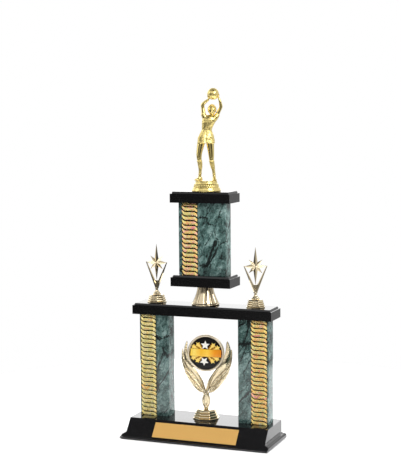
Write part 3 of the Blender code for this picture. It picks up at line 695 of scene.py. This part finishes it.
def feather(path, width, thick, lean, curl=0.0, steps=6):
    """A ridged leaf along (x, z, y) points in millimetres; lean turns it about its own length."""
    points = [Vector((x, y, z)) for x, z, y in curve(path, steps)]
    rings = []
    last = len(points) - 1

    def ridge_at(angle):
        return 1 + 0.55 * max(0, cos(angle - pi / 2)) ** 6

    for i, point in enumerate(points):
        share = i / last
        ahead = (points[min(i + 1, last)] - points[max(i - 1, 0)]).normalized()
        across = ahead.cross(Vector((0, 1, 0))).normalized()
        front = ahead.cross(across)
        turn = lean + curl * share
        side = across * cos(turn) + front * sin(turn)
        out = front * cos(turn) - across * sin(turn)
        pointed = min(1, (1 - share) * 5 + 0.05) ** 0.5
        swell = max(0.06, sin(pi * min(1, 0.22 + 0.62 * share)) ** 0.7 * pointed)
        half, deep = width / 2 * swell, thick / 2 * (0.5 + 0.5 * swell)
        rings.append([(point + side * (half * cos(angle)) + out * (deep * ridge_at(angle) * sin(angle))) * MM
                      for angle in angles(16)])
    return loft(rings)


def wing_feathers(sign, spread, top_width):
    """The feathers of one wing, from the long inner one to the short outer ones."""
    table = (   # width, thickness, lean, curl, (x, z, y) stations
        (top_width, 2, -0.1, 0, ((3, 72, 0), (8, 87, -0.6), (18, 102, -1.4), (28.6, 116, -2),
            (34.4, 133, 3.2), (32.6, 149.6, 8.4))),
        (6.4, 1.9, 0.45, 0, ((4, 72, 0.6), (12, 87, 0.4), (24, 101, 0.3), (34.2, 115, 1), (38.8, 127, 3),
            (39.6, 137.5, 5.4))),
        (6, 1.9, 0.5, 0, ((5, 71.6, 1), (15, 86, 0.9), (27, 98, 0.9), (35.4, 109, 1), (38.8, 119, 1.4),
            (40.2, 127.5, 2))),
        (5.6, 1.9, 0.5, 0.1, ((6, 71.4, 1.2), (17, 84.6, 1.3), (28, 95.6, 1.3), (35, 105, 1.4),
            (38.4, 115, 1.9))),
        (5.4, 1.9, 0.5, 0.1, ((6.5, 71, 1.2), (18, 82, 1.4), (27.4, 92, 1.5), (33.2, 99.6, 1.6),
            (35.6, 106.5, 2))),
        (5, 1.9, 0.5, 0.1, ((7, 70.6, 1.2), (17.4, 79, 1.4), (25.4, 87.6, 1.6), (30.2, 94, 1.8),
            (31.8, 99, 2.1))),
        (4.8, 1.9, 0.5, 0.1, ((7, 70.4, 1), (15.6, 75.8, 1.2), (22, 82.6, 1.5), (26.4, 89.6, 1.9))),
        (4.4, 1.9, 0.45, 0.1, ((6, 70.2, 0.8), (12.4, 73, 1), (17.6, 77.8, 1.3), (21.2, 83.4, 1.7))),
        (4, 1.8, 0.4, 0.1, ((5, 70, 0.6), (9.4, 71, 0.8), (13.2, 73.4, 1.1), (16.4, 77, 1.4))),
        (4.2, 1.5, 0.4, 0.1, ((9, 82, -1.6), (16.5, 92, -1.7), (24.5, 101, -1.5), (30.5, 110.5, -1))),
        (4, 1.5, 0.4, 0.1, ((8, 77.5, -1.4), (16, 86, -1.5), (23, 94.5, -1.2), (28.5, 102.5, -0.6))),
        (3.8, 1.5, 0.4, 0.1, ((7, 74, -1.2), (13.5, 80, -1.2), (19.5, 87, -0.9), (24.2, 94, -0.4))),
        (3.6, 2.4, 0, 0, ((1.8, 71, -1.2), (4.6, 80, -2.2), (8.6, 92, -2.6), (15.5, 103, -2.4),
            (23, 112, -1.6), (28.2, 122, -0.4))),
    )
    made = []
    for width, thick, lean, curl, path in table:
        turned = [(sign * x * (1 + (spread - 1) * min(1, x / 30)), z, y) for x, z, y in path]
        snug = 1.0 if width == top_width else 0.8
        lean *= 1 if sign > 0 else 1.5        # the left wing turns more of its feathers' edges to the front
        made.append(feather(turned, width * snug, thick, -sign * lean, -sign * curl))
    for row, (start_x, start_z, step_x, step_z, count) in enumerate(((5.5, 75.5, 3.3, 4.1, 7),
                                                                     (10.5, 74.5, 3.1, 3.7, 6))):
        for i in range(count):      # the short feathers that cover the roots of the long ones
            x, z = start_x + step_x * i, start_z + step_z * i
            swing = 0.1 * (i % 2) + 0.08 * row
            path = [(sign * (x + 8.6 * s - swing * 4 * s * s) * (1 + (spread - 1) * 0.6),
                     z + 6 * s + 3.4 * s * s, -2.9 + 0.9 * s)
                    for s in (0, 0.35, 0.7, 1)]
            lean = 1.15 if i % 2 else 0.3
            made.append(feather(path, 2.7 - 0.2 * row, 1.5, -sign * lean, -sign * 0.1, 4))
    return made


def build_holder():
    shapes = wing_feathers(-1, 0.945, 8) + wing_feathers(1, 1.01, 11)
    stem_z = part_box("insert_holder")[0][2] / MM
    shapes.append(tube_path(((0, 0, stem_z + 1.2, 3.3), (0, 0, 44, 3.2), (0, 0, 46.4, 3), (0, 0, 49, 3),
                             (0, 0, 54, 3.8), (0, 0, 62, 3.6), (0, 0, 70, 3.2), (0, 0, 73, 2.4)), 24))
    shapes.append(ball_shape((0, 0, 46.2), (4.1, 4.1, 1)))
    stem_leaves = (     # width, thickness, lean, (x, z, y) stations
        (4.6, 2.2, 0.1, ((-0.6, 46.5, -1.6), (-3.2, 52, -2.8), (-3.6, 58, -2.8), (-1.6, 65, -2.2),
                         (-1, 69, -1.6))),
        (4.4, 2.2, -0.7, ((1.4, 47.5, -1.2), (3.8, 53, -2), (3.9, 59, -2), (2.6, 66, -1.8), (5, 71, -1))),
        (6, 2.4, 0.2, ((-1.6, 48, 1.2), (-3.9, 54, 2), (-3.6, 60, 2), (-2.2, 66, 1.6), (-5, 71, 0.8))),
        (6, 2.4, -0.2, ((1.4, 47.5, 1.4), (3.4, 53, 2.4), (3.6, 59, 2.4), (1.8, 66, 1.8), (0.6, 70, 1.2))))
    for width, thick, lean, path in stem_leaves:
        shapes.append(feather(path, width, thick, lean))
    make_piece("insert_holder_wings", one_skin(shapes, 0.0003, 1), RIPPLED_CHAMPAGNE,
               ("insert_holder",), turn=HOLDER_TURN, smooth=180)

    profile = ((29, -2.2), (28.85, -2.75), (28.4, -3.2), (27.7, -3.45), (27, -3.45), (26.4, -3.2), (26, -2.7),
               (25.75, -2), (25.6, -1.2), (25.55, 1.9), (20, 1.9), (20, 3.5), (28.2, 3.5), (28.8, 3.2),
               (29, 2.6))
    rings = [upright_ring(radius * MM, y * MM, 128, RING_Z) for radius, y in profile]
    make_piece("insert_holder_ring", loft(rings, loop=True), SATIN_CHAMPAGNE,
               turn=HOLDER_TURN, smooth=40)
    foot = tiered_foot(*levels("holder_foot"), 0.0216, 0.0145, pi / 8)
    make_piece("holder_foot_steps", foot, CHAMPAGNE, ("holder_foot",), turn=HOLDER_TURN)


# ---- insert

INSERT_RADIUS = 0.0252
PRINT_RISE = 0.0017
PRINT_EDGE_Y = -0.0008
PRINT_ROLL = radians(2.5)   # the sticker sits slightly clockwise


def print_y(x, z):
    """Front of the domed print at a place measured from its centre."""
    out = min(1, (x * x + z * z) / INSERT_RADIUS ** 2)
    return PRINT_EDGE_Y - PRINT_RISE * (1 - out)


def draped(outline, thickness, inward=5):
    """A thin closed patch on the print: rings of points shrink from its outline to its middle."""
    outline = [(x * cos(PRINT_ROLL) + z * sin(PRINT_ROLL), z * cos(PRINT_ROLL) - x * sin(PRINT_ROLL))
               for x, z in outline]
    count = len(outline)
    middle_x, middle_z = (sum(values) / count for values in zip(*outline))

    def ring(share, lift):
        row = [(middle_x + (x - middle_x) * share, middle_z + (z - middle_z) * share) for x, z in outline]
        return [(x, print_y(x, z) - lift, RING_Z + z) for x, z in row]

    shape = loft([ring(1, -0.0002)] + [ring(1 - i / inward, thickness) for i in range(inward)], closed=False)
    points = list(shape.verts)
    under, inner = points[:count], points[-count:]
    hub = shape.verts.new((middle_x, print_y(middle_x, middle_z) - thickness, RING_Z + middle_z))
    for a, b in zip(inner, inner[1:] + inner[:1]):
        shape.faces.new((a, b, hub))
    shape.faces.new(under[::-1])
    return shape


def cut(corners, parts):
    """Points along the outline through the corners, each side cut in equal parts."""
    return [(ax + (bx - ax) * k / parts, az + (bz - az) * k / parts)
            for (ax, az), (bx, bz) in zip(corners, corners[1:] + corners[:1]) for k in range(parts)]


def star_outline(centre, radius, tip, inner=0.46):
    """Five points, the first in direction tip."""
    corners = []
    for i in range(10):
        angle = tip + i * pi / 5
        reach = radius if i % 2 == 0 else radius * inner
        corners.append((centre[0] + reach * cos(angle), centre[1] + reach * sin(angle)))
    return cut(corners, 3)


def ray_outline(far, far_half, near_half, start=0.003):
    """A beam that widens from the centre of the print."""
    way = far.normalized()
    side = Vector((-way.y, way.x))
    near = way * start
    return cut([near + side * near_half, far + side * far_half,
                far - side * far_half, near - side * near_half], 6)


def band_outline(half_height, lift, radius):
    """A straight band across the print, its ends on a circle."""
    points = []
    for side in (-1, 1):
        z = lift + side * half_height
        end = sqrt(radius ** 2 - z ** 2)
        row = [(-end + 2 * end * i / 24, z) for i in range(25)]
        points += row if side < 0 else row[::-1]
    return points


def printed(name, outline, height, ink):
    """A patch of ink that stands height above the print; the upper layers stand higher."""
    make_piece(name, draped(outline, height), ink, turn=HOLDER_TURN)


def build_insert():
    sides, dome_steps = 96, 12
    rings = [upright_ring(radius, y, sides, RING_Z)
             for y, radius in ((0.0016, 0.025), (0.0012, 0.0252), (-0.0004, 0.0252))]
    for k in range(dome_steps + 1):
        reach = INSERT_RADIUS * (1 - 0.985 * k / dome_steps)
        rings.append(upright_ring(reach, print_y(reach, 0), sides, RING_Z))
    make_piece("insert_print", loft(rings), BLACK_INK, ("insert_disc", "insert_dome"),
               turn=HOLDER_TURN, smooth=40)

    stars = [(side_x * x - 0.6, side_z * z + (0.6 if side_z > 0 else 0.2))
             for x, z in ((19, 8.6), (12, 12.4)) for side_x in (-1, 1) for side_z in (-1, 1)]
    for number, (x, z) in enumerate(stars):
        far = Vector((x, z)) * MM
        for part, (half, ink) in enumerate(((0.0038, DARK_GOLD_INK), (0.0014, GOLD_INK))):
            outline = ray_outline(far, half, half * 0.45)
            printed(f"insert_ray_{number}_{part}", outline, 0.00006 + 0.00005 * part, ink)
        outline = star_outline(far, 0.0046, Vector((x, z)).angle_signed(Vector((1, 0))))
        printed(f"insert_gold_star_{number}", outline, 0.00018, GOLD_INK)
    for name, centre, tip in (("upper", (-1.3, 12.6), pi / 2), ("lower", (-1.9, -13), -pi / 2)):
        printed(f"insert_white_star_{name}", star_outline(Vector(centre) * MM, 0.0072, tip), 0.00022, WHITE_INK)
    printed("insert_band_edge", band_outline(0.0062, 0.0004, 0.02505), 0.00026, DARK_GOLD_INK)
    printed("insert_band", band_outline(0.0057, 0.0004, 0.0249), 0.00032, band_ink(0.05))


# ---- figure

FIGURE_OFFSET = 2.6     # millimetres from the axis, in the figure's own plane


def build_figure_base():
    """Three flared tiers with a row of small upright panels round the middle one."""
    low, high = levels("figure_base")
    sides, panels = 288, 36
    steps = (
        (0, 22.2, 0), (0.03, 22.4, 0), (0.1, 22.3, 0), (0.14, 21.9, 0), (0.3, 20.6, 0), (0.34, 20.6, 0),
        (0.36, 20.3, 0), (0.375, 19.5, 0.3), (0.4, 19.6, 1), (0.58, 18.9, 1), (0.61, 18.8, 0.3),
        (0.62, 18.9, 0), (0.66, 19, 0), (0.69, 18.6, 0), (0.71, 17.7, 0), (0.74, 17.3, 0.4),
        (0.88, 16.6, 0.4), (0.9, 16.6, 0), (0.94, 16.7, 0), (0.98, 16.5, 0), (1, 15.9, 0))
    rings = []
    for up, radius, panel in steps:
        def radius_at(angle):
            wave = cos(panels * angle)
            groove = max(0, min(1, (wave + 0.55) * 3))
            return (radius - 0.3 * panel * (1 - groove)) * MM
        rings.append(ring_points(radius_at, low + up * (high - low), sides))
    for radius in (14, 9, 3):
        rings.append(ring_points(lambda angle: radius * MM, high, sides))
    shape = loft(rings)
    shape.transform(Matrix.Translation((FIGURE_OFFSET * MM, 0, 0)))
    make_piece("figure_base_tiers", shape, BRIGHT_GOLD, ("figure_base",), turn=TURNED, smooth=35)


BALL_CENTRE = Vector((13.9, -1, 535.3))
BALL_RADIUS = 9.0


def build_ball():
    """A ball with grooved panel seams."""
    shape = bmesh.new()
    bmesh.ops.create_icosphere(shape, subdivisions=6, radius=1.0)
    tilt = Matrix.Rotation(0.5, 3, "X") @ Matrix.Rotation(0.4, 3, "Z")
    for vertex in shape.verts:
        way = tilt @ vertex.co.normalized()
        off = min(abs(way.x), abs(way.y), abs(abs(way.z) - 0.62 + 0.25 * (way.x ** 2 - way.y ** 2)))
        groove = max(0, 1 - (off / 0.045) ** 2) ** 1.5
        vertex.co = (BALL_CENTRE + vertex.co.normalized() * (BALL_RADIUS - 0.28 * groove)) * MM
    make_piece("ball_panels", shape, BRIGHT_GOLD, ("ball",), turn=TURNED, smooth=180)


def dress():
    """Fitted bodice and a short flared skirt with soft pleats, open underneath."""
    sections = (   # x, y, z, half width, half depth, pleat depth
        (10.4, 0.2, 503.6, 4.6, 3.4, 0), (9.8, 0.1, 501.6, 8.6, 4.6, 0), (9, -0.1, 499.4, 10.8, 5.6, 0),
        (8.2, -0.4, 496, 11.2, 6.6, 0), (6.8, -0.6, 492, 10.2, 7, 0), (5.6, -0.4, 488, 9.2, 6.4, 0),
        (4.4, -0.2, 483.5, 8.2, 5.8, 0), (3.9, 0, 480, 7.9, 5.7, 0.1), (3.4, 0, 476, 9.4, 6.6, 0.25),
        (3.1, 0, 472, 11.2, 7.6, 0.45), (2.8, 0, 467, 12.2, 8.4, 0.65), (2.6, 0, 462, 12.9, 9.2, 0.8),
        (2.6, 0, 460.2, 13.1, 9.5, 0.85), (2.6, 0, 459.9, 12.5, 8.9, 0.8), (2.6, 0, 461.2, 11.7, 8.1, 0.6),
        (2.6, 0, 466, 9.4, 6.4, 0.2))
    rings = []
    for x, y, z, half, deep, pleat in curve(sections, 3):
        ring = []
        for angle in angles(96):
            fold = max(0, pleat) * (0.6 * sin(13 * angle + 0.6) + 0.4 * sin(7 * angle + 2))
            fold -= 1.5 * max(0, pleat) * max(0, cos(angle + 0.95)) ** 60
            fold += 0.55 * noise.noise(Vector((2.2 * cos(angle), 2.2 * sin(angle), z * 0.3)))
            ring.append(((x + (half + fold) * cos(angle)) * MM, (y + (deep + fold) * sin(angle)) * MM, z * MM))
        rings.append(ring)
    return loft(rings)


def bib():
    """A blank sports bib: raised panels front and back, with straps over the shoulders."""
    shapes = []
    stations = ((484.5, 4.7, 5.6, 5.6), (488, 5.7, 6.4, 6.3), (492, 6.9, 6.9, 6.9), (496, 8.2, 6.9, 6.6),
                (499, 9.1, 6.3, 5.5), (500.5, 9.6, 5.2, 4.9))
    for side in (-1, 1):
        rings = []
        for z, x, half, y in stations:
            ring = []
            for angle in angles(24):
                across = max(-1, min(1, 1.25 * cos(angle)))
                ring.append(((x + half * across) * MM,
                             (side * (y - 1.9 * across * across) - 0.3 + 0.75 * sin(angle)) * MM, z * MM))
            rings.append(ring)
        shapes.append(loft(rings))
    return shapes


def leg(path, ribs_between, sides=40):
    """A leg whose sock is ribbed between two heights, with a folded cuff at the top of it."""
    low, high = ribs_between
    rings = []
    for x, y, z, radius, deep in curve(path, 8):
        ring = []
        for angle in angles(sides):
            reach = radius
            if low < z < high:
                reach += 0.16 * cos(10 * angle) + 0.2
                reach += 0.55 * max(0, 1 - abs(z - high + 1.1) / 1.1)
            ring.append(((x + reach * cos(angle)) * MM, (y + (reach + deep) * sin(angle)) * MM, z * MM))
        rings.append(ring)
    return loft(rings)


def shoe(heel, toe, sole_z):
    """A trainer from heel to toe: flat sole with a lip, rounded upper, collar and laces."""
    start, end = Vector((*heel, 0)), Vector((*toe, 0))
    along = (end - start).normalized()
    across = Vector((-along.y, along.x, 0))
    stations = ((0, 1.5, 3.8), (0.06, 2.4, 5.2), (0.2, 2.9, 6.6), (0.36, 2.9, 6.2), (0.5, 2.9, 4.8),
                (0.68, 3.1, 3.6), (0.86, 2.9, 2.9), (0.96, 2.2, 2.3), (1, 1.3, 1.7))
    outline = ((-0.96, 0), (0.96, 0), (1.12, 0.12), (1.12, 0.3), (0.98, 0.36), (0.96, 0.58), (0.72, 0.88),
               (0.3, 1), (-0.3, 1), (-0.72, 0.88), (-0.96, 0.58), (-0.98, 0.36), (-1.12, 0.3), (-1.12, 0.12))
    rings = []
    for share, half, height in stations:
        centre = start.lerp(end, share)
        rings.append([(centre + across * (half * x) + Vector((0, 0, sole_z + height * z))) * MM
                      for x, z in outline])
    shapes = [loft(rings)]
    for i in range(4):
        centre = start.lerp(end, 0.44 + 0.09 * i)
        top = sole_z + 5 - 0.62 * i
        shapes.append(tube_path([(*(centre + across * w)[:2], top - 0.35 * w * w, 0.34)
                                 for w in (-1.5, -0.75, 0, 0.75, 1.5)], 8))
    return shapes


def hand(wrist, palm, spread, thumb):
    """A palm on the ball with four fingers that follow it and a thumb."""
    palm_way = (Vector(palm) - BALL_CENTRE).normalized()
    grip = BALL_RADIUS + 0.35
    seat = BALL_CENTRE + palm_way * (BALL_RADIUS + 0.7)
    shapes = [tube_path([(*wrist, 1.55), (*Vector(wrist).lerp(seat, 0.5), 1.45), (*seat, 1.5)], 14),
              ball_shape(seat, (1.7, 2.1, 1.7))]
    for tip in spread:
        tip_way = Vector(tip).normalized()
        path = []
        for k in range(7):
            way = palm_way.lerp(tip_way, 0.8 * k / 6).normalized()
            knuckle = 0.12 if k in (2, 4) else 0
            path.append((*(BALL_CENTRE + way * grip), 0.7 - 0.045 * k + knuckle))
        shapes.append(tube_path(path, 10))
    thumb_way = Vector(thumb).normalized()
    ways = [palm_way.lerp(thumb_way, k / 4).normalized() for k in range(5)]
    shapes.append(tube_path([(*(BALL_CENTRE + way * grip), 0.92 - 0.06 * k) for k, way in enumerate(ways)], 10))
    return shapes


# x, z, half width, half height and rise of each soft bump, in millimetres; on both sides where x isn't 0
FACE = (
    (0, 1.9, 3.4, 0.9, 0.35), (1.9, 0.7, 1.15, 0.85, -0.75), (1.9, 0.7, 0.75, 0.42, 0.5),   # brow and eyes
    (0, 0.2, 0.55, 1.5, 0.75), (0, -0.9, 0.85, 0.75, 0.95), (0, -2.05, 1.3, 0.4, -0.18),    # nose and lip
    (0, -2.65, 1.25, 0.34, 0.42), (0, -3.02, 1.3, 0.16, -0.22), (0, -3.38, 1.05, 0.36, 0.45),   # mouth
    (0, -4.2, 1.4, 0.5, -0.22), (0, -5.4, 1.4, 1, 0.5), (3, -1, 1.5, 1.3, 0.22))         # chin and cheeks
HEAD_RADII = Vector((5.7, 6.5, 7.5))
HEAD_CENTRE = Vector((12.1, -0.3, 510.9))
HEAD_TILT = Matrix.Rotation(radians(-14), 3, "X")
HEAD_SIZE = 1.11        # the whole head is enlarged by this after it is shaped


def head_point(way, hair):
    """A point on the head or on its hair, in millimetres from the head's centre; -Y is the face."""
    x, y, z = way
    point = HEAD_RADII * way
    jaw = max(0, -z - 0.15)
    point.x *= 1 - 0.3 * jaw
    if y < 0:
        point.y *= 1 - 0.1 * jaw + 0.05 * max(0, -y) * (1 if z < 0 else 0)
    if hair:
        line = 0.34 - 1.05 * max(0, y + 0.35)
        cover = max(0, min(1, (z - line) / 0.16))
        strand = 0.16 * sin(34 * x + 5 * z) * (1 - 0.5 * abs(y)) + 0.1 * sin(61 * x + 3 * z)
        return point * (0.93 + cover * (0.155 + 0.03 * strand / 0.16))
    if y <= 0:
        for bump_x, bump_z, wide, tall, rise in FACE:
            for side in (-1, 1) if bump_x else (1,):
                point.y -= rise * exp(-((x * HEAD_RADII.x - side * bump_x) / wide) ** 2
                                      - ((z * HEAD_RADII.z - bump_z) / tall) ** 2)
    return point


def head_shell(hair):
    shape = bmesh.new()
    bmesh.ops.create_uvsphere(shape, u_segments=128, v_segments=96, radius=1.0)
    for vertex in shape.verts:
        vertex.co = (HEAD_CENTRE + HEAD_TILT @ head_point(vertex.co.normalized(), hair) * HEAD_SIZE) * MM
    return shape


def build_head():
    make_piece("figure_face", head_shell(False), BRIGHT_GOLD, turn=TURNED, smooth=180)
    place = HEAD_CENTRE + HEAD_TILT @ Vector((0, 7, 1.6))
    tail = [tube_path([(*(place + Vector((0.25 * sin(k), 0.5 + 0.55 * k - 0.05 * k * k, -1.25 * k))), r)
                       for k, r in enumerate((1.3, 1.9, 2, 1.8, 1.5, 1.1, 0.6))], 20),
            ball_shape(place, (1.9, 1.2, 1.9))]
    ears = [ball_shape(HEAD_CENTRE + HEAD_TILT @ Vector((side * 5.55, 0.3, -0.2)), (0.7, 1.2, 1.8))
            for side in (-1, 1)]
    make_piece("figure_hair", one_skin([head_shell(True)] + tail + ears, 0.0002, 1), BRIGHT_GOLD,
               turn=TURNED, smooth=180)


def build_figure():
    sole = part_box("player_figure")[0][2] / MM
    left_arm = (
        (3.4, 0, 497.2, 3.6), (0.8, 0.2, 500.6, 3.5), (-0.6, 0.4, 504.4, 3.2), (-1.2, 0.6, 509, 3),
        (-1.9, 0.5, 514.6, 2.6), (-2, 0.3, 519, 2.7), (0.6, -0.4, 522, 2.5), (3.8, -1.4, 524.4, 2.2),
        (6.4, -2, 526.4, 1.8))
    right_arm = (
        (15, 0, 496.6, 3.6), (17.8, 0.2, 499.4, 3.5), (20, 0.4, 503.2, 3.1), (22.4, 0.6, 508.4, 2.9),
        (24.7, 0.4, 512.6, 2.6), (25.8, 0.1, 515.6, 2.65), (25.4, -0.4, 519.6, 2.4), (24.4, -1, 524, 2),
        (23.4, -1.2, 527.2, 1.7))
    left_sleeve = ((2.4, 0, 497.6, 4.3), (0.2, 0.2, 501.2, 4.2), (-0.9, 0.4, 503.6, 3.8))
    right_sleeve = ((15.8, 0, 497, 4.3), (18.4, 0.2, 500.4, 4.2), (20, 0.4, 502.6, 3.8))
    neck = ((11, 0.4, 499, 3.4), (11.4, 0.3, 503, 2.9), (11.9, 0.2, 507, 2.8))
    shapes = [dress()] + bib()
    shapes += [tube_path(path, 24)
               for path in (curve(left_arm, 4), curve(right_arm, 4), left_sleeve, right_sleeve, neck)]
    shapes.append(leg(((-3.6, 0, 470, 6.2, 0.6), (-4.6, 0, 462, 6.1, 0.4), (-6.4, 0, 453, 5.3, 0.3),
                       (-8, -0.3, 444, 4.4, 0.1), (-8.1, -0.7, 437.8, 3.9, 0.1), (-7.7, -0.5, 434, 3.5, 0),
                       (-6.9, 0.4, 428.6, 3.5, 0.2), (-6.5, 0.9, 423.4, 2.9, 0.1), (-6.6, 1, 418.6, 2.2, 0),
                       (-6.9, 1, 413, 2.2, 0.1), (-7.6, 0.8, 407, 2.5, 0.2)), (412, 433.6)))
    shapes.append(leg(((7.8, 0, 470, 6.2, 0.6), (8.8, 0, 462, 6.1, 0.4), (9.6, 0, 453, 5.4, 0.3),
                       (10.4, -0.3, 444, 4.6, 0.1), (10.8, -0.7, 437.4, 3.9, 0.1), (11, -0.5, 433.6, 3.5, 0),
                       (11.9, 0.4, 428, 3.5, 0.2), (12.9, 0.9, 422.8, 2.9, 0.1), (13.9, 1, 418.2, 2.2, 0),
                       (14.6, 1, 413, 2.2, 0.1), (15, 0.8, 407, 2.5, 0.2)), (412, 433.2)))
    for x, z in ((-8.3, 438.2), (10.8, 437.8)):
        shapes.append(ball_shape((x, -3.2, z), (2.3, 1.7, 2.4)))
    shapes += shoe((-4, 2.8), (-14.8, -4.4), sole)
    shapes += shoe((14.6, 4), (15.8, -8.8), sole)
    shapes += hand((6.4, -2, 526.4), (7.6, -2.4, 528.6),
                   ((-0.8, -0.52, -0.34), (-0.95, -0.2, -0.22), (-0.94, 0.18, -0.24), (-0.8, 0.5, -0.36)),
                   (-0.2, -0.78, -0.62))
    shapes += hand((23.6, -1.2, 527.2), (22.4, -1.6, 529.4),
                   ((0.8, -0.55, -0.1), (0.97, -0.24, 0.06), (0.97, 0.14, 0.06), (0.84, 0.46, -0.1)),
                   (0.46, -0.76, -0.46))
    make_piece("player_figure_body", one_skin(shapes, 0.0003, 2), FIGURE_GOLD,
               ("player_figure",), turn=TURNED, smooth=180)
    build_head()


# ---- assembly

dress_node("base", BASE_LACQUER, 0.0004)
for black_node in ("deck", "upper_bottom_plate", "upper_top_plate"):
    dress_node(black_node, LACQUER, 0.0004)
dress_node("engraving_plate", SHEET_GOLD, 0.0002)
dress_node("base_felt", FELT)
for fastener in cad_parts:
    if "nut" in fastener or "washer" in fastener or fastener.endswith("rod") or fastener == "holder_stud":
        dress_node(fastener, ZINC, 0.0002)
build_columns()
build_inlays()
build_riser()
build_finials()
build_holder()
build_insert()
build_figure_base()
build_ball()
build_figure()

# ---- camera, floor and light

def aimed(place, way):
    """Where a camera or lamp at place stands when it looks along way."""
    return Matrix.Translation(place) @ way.to_track_quat("-Z", "Y").to_matrix().to_4x4()


def add_camera():
    """The view from the front, a little to the right and above."""
    target = Vector((-0.0075, AXIS.y, 0.3163))
    distance, azimuth, elevation, roll = 1.8392, radians(21.62), radians(5.62), radians(-0.447)
    back = Vector((sin(azimuth) * cos(elevation), -cos(azimuth) * cos(elevation), sin(elevation)))
    data = configure(bpy.data.cameras.new("camera"), sensor_fit="HORIZONTAL", sensor_width=36.0, lens=106.34)
    camera = add_object("camera", data)
    camera.matrix_world = aimed(target + back * distance, -back) @ Matrix.Rotation(roll, 4, "Z")
    bpy.context.scene.camera = camera


def add_floor(radius=0.62, rings=24, spokes=96):
    """A round, pale sweep with a softly turned-down edge."""
    floor_rings = []
    for i in range(rings + 1):
        share = i / rings
        drop = 0.02 * max(0, share - 0.9) ** 2
        reach = radius * (0.02 + 0.98 * share)
        floor_rings.append(ring_points(lambda angle: reach, -0.0002 - drop, spokes))
    shape = loft(floor_rings, closed=False)
    shape.faces.new(shape.verts[:][:spokes])
    item = add_object("floor", mesh_from(shape, "floor"))
    item.data.shade_smooth()
    item.data.materials.append(mottled("floor_paper", (900, 3), (0.9, 0.9, 0.9), (0.93, 0.93, 0.93),
                                       Metallic=0.0, Roughness=0.9))


def add_light(name, place, aim, size, power, mirrored=True):
    width, height = size
    data = bpy.data.lights.new(name, "AREA")
    lamp = add_object(name, configure(data, shape="RECTANGLE", size=width, size_y=height, energy=power))
    lamp.visible_glossy = mirrored
    lamp.matrix_world = aimed(place, Vector(aim) - Vector(place))


def add_studio():
    """White behind and beside the object, dim in front of it, so that dark gloss stays dark."""
    world = bpy.data.worlds.new("studio")
    bpy.context.scene.world = world
    world.use_nodes = True
    sky = Nodes(world.node_tree)
    way = sky.node("ShaderNodeTexCoord").outputs["Generated"]
    side, depth, height = (sky.axis(way, name) for name in "XYZ")

    def soft(value, low, high, to_low, to_high):
        return sky.span(value, low, high, to_low, to_high, "SMOOTHSTEP")

    def times(first, second):
        return sky.math("MULTIPLY", first, second)

    compass = sky.math("MULTIPLY_ADD", sky.math("ARCTAN2", side, times(depth, -1)), 1 / tau, 0.5)

    def round_about(*stops):
        """A level by compass direction in degrees: 0 is the front, 90 the right-hand side."""
        return sky.ramp(compass, [((angle + 180) / 360, (value,) * 3) for angle, value in stops], "EASE")

    low_level = round_about((-180, 0.8), (-96, 0.8), (-76, 0.3), (-62, 0.1), (-24, 0.09), (-10, 0.3),
                            (20, 0.38), (33, 0.05), (78, 0.04), (93, 0.75), (180, 0.8))
    high_level = round_about((-110, 0), (-92, 0.45), (-45, 0.5), (-34, 0.95), (24, 0.95), (38, 0), (180, 0))
    below_rear = times(soft(height, -0.02, 0.06, 0.3, 0), soft(depth, 0.4, 0.7, 0, 1))
    overhead = times(soft(height, 0.74, 0.82, 1, 0.62), sky.math("SUBTRACT", 1, below_rear))
    soft_box = times(soft(height, 0.3, 0.42, 0, 1), soft(height, 0.68, 0.76, 1, 0))
    rear_left = times(soft(depth, 0.15, 0.75, 0, 1), soft(side, -0.15, 0.2, 1, 0))
    low_band = times(soft(height, 0.02, 0.07, 0, 1.2), soft(height, 0.3, 0.5, 1, 0))
    low_band = times(low_band, soft(height, 0.1, 0.24, 0.92, 1.4))
    level = sky.math("MULTIPLY_ADD", low_level, overhead, times(high_level, soft_box))
    level = sky.math("MULTIPLY_ADD", rear_left, low_band, level)

    white = (1, 1, 1)
    lighting = sky.tree.nodes["Background"]
    for name, value in (("Color", white), ("Strength", level)):
        sky.feed(lighting.inputs[name], value)
    seen = sky.node("ShaderNodeBackground", {"Color": white})
    camera_ray = sky.node("ShaderNodeLightPath").outputs["Is Camera Ray"]
    mixer = sky.node("ShaderNodeMixShader", {"Fac": camera_ray, 1: lighting.outputs["Background"],
                                             2: seen.outputs["Background"]})
    sky.feed(sky.tree.nodes["World Output"].inputs["Surface"], mixer.outputs["Shader"])

    add_light("key", (1.55, -0.95, 1.35), (0, 0, 0.22), (1.1, 1.1), 24)
    add_light("fill", (-1.5, -0.7, 0.9), (0, 0, 0.25), (0.7, 1.1), 4)
    add_light("top", (0.1, 0.35, 1.7), (0, 0, 0.2), (1.4, 1.2), 40, mirrored=False)


add_camera()
add_floor()
add_studio()
bpy.context.scene.view_settings.view_transform = "Standard"
bpy.context.scene.view_settings.look = "None"
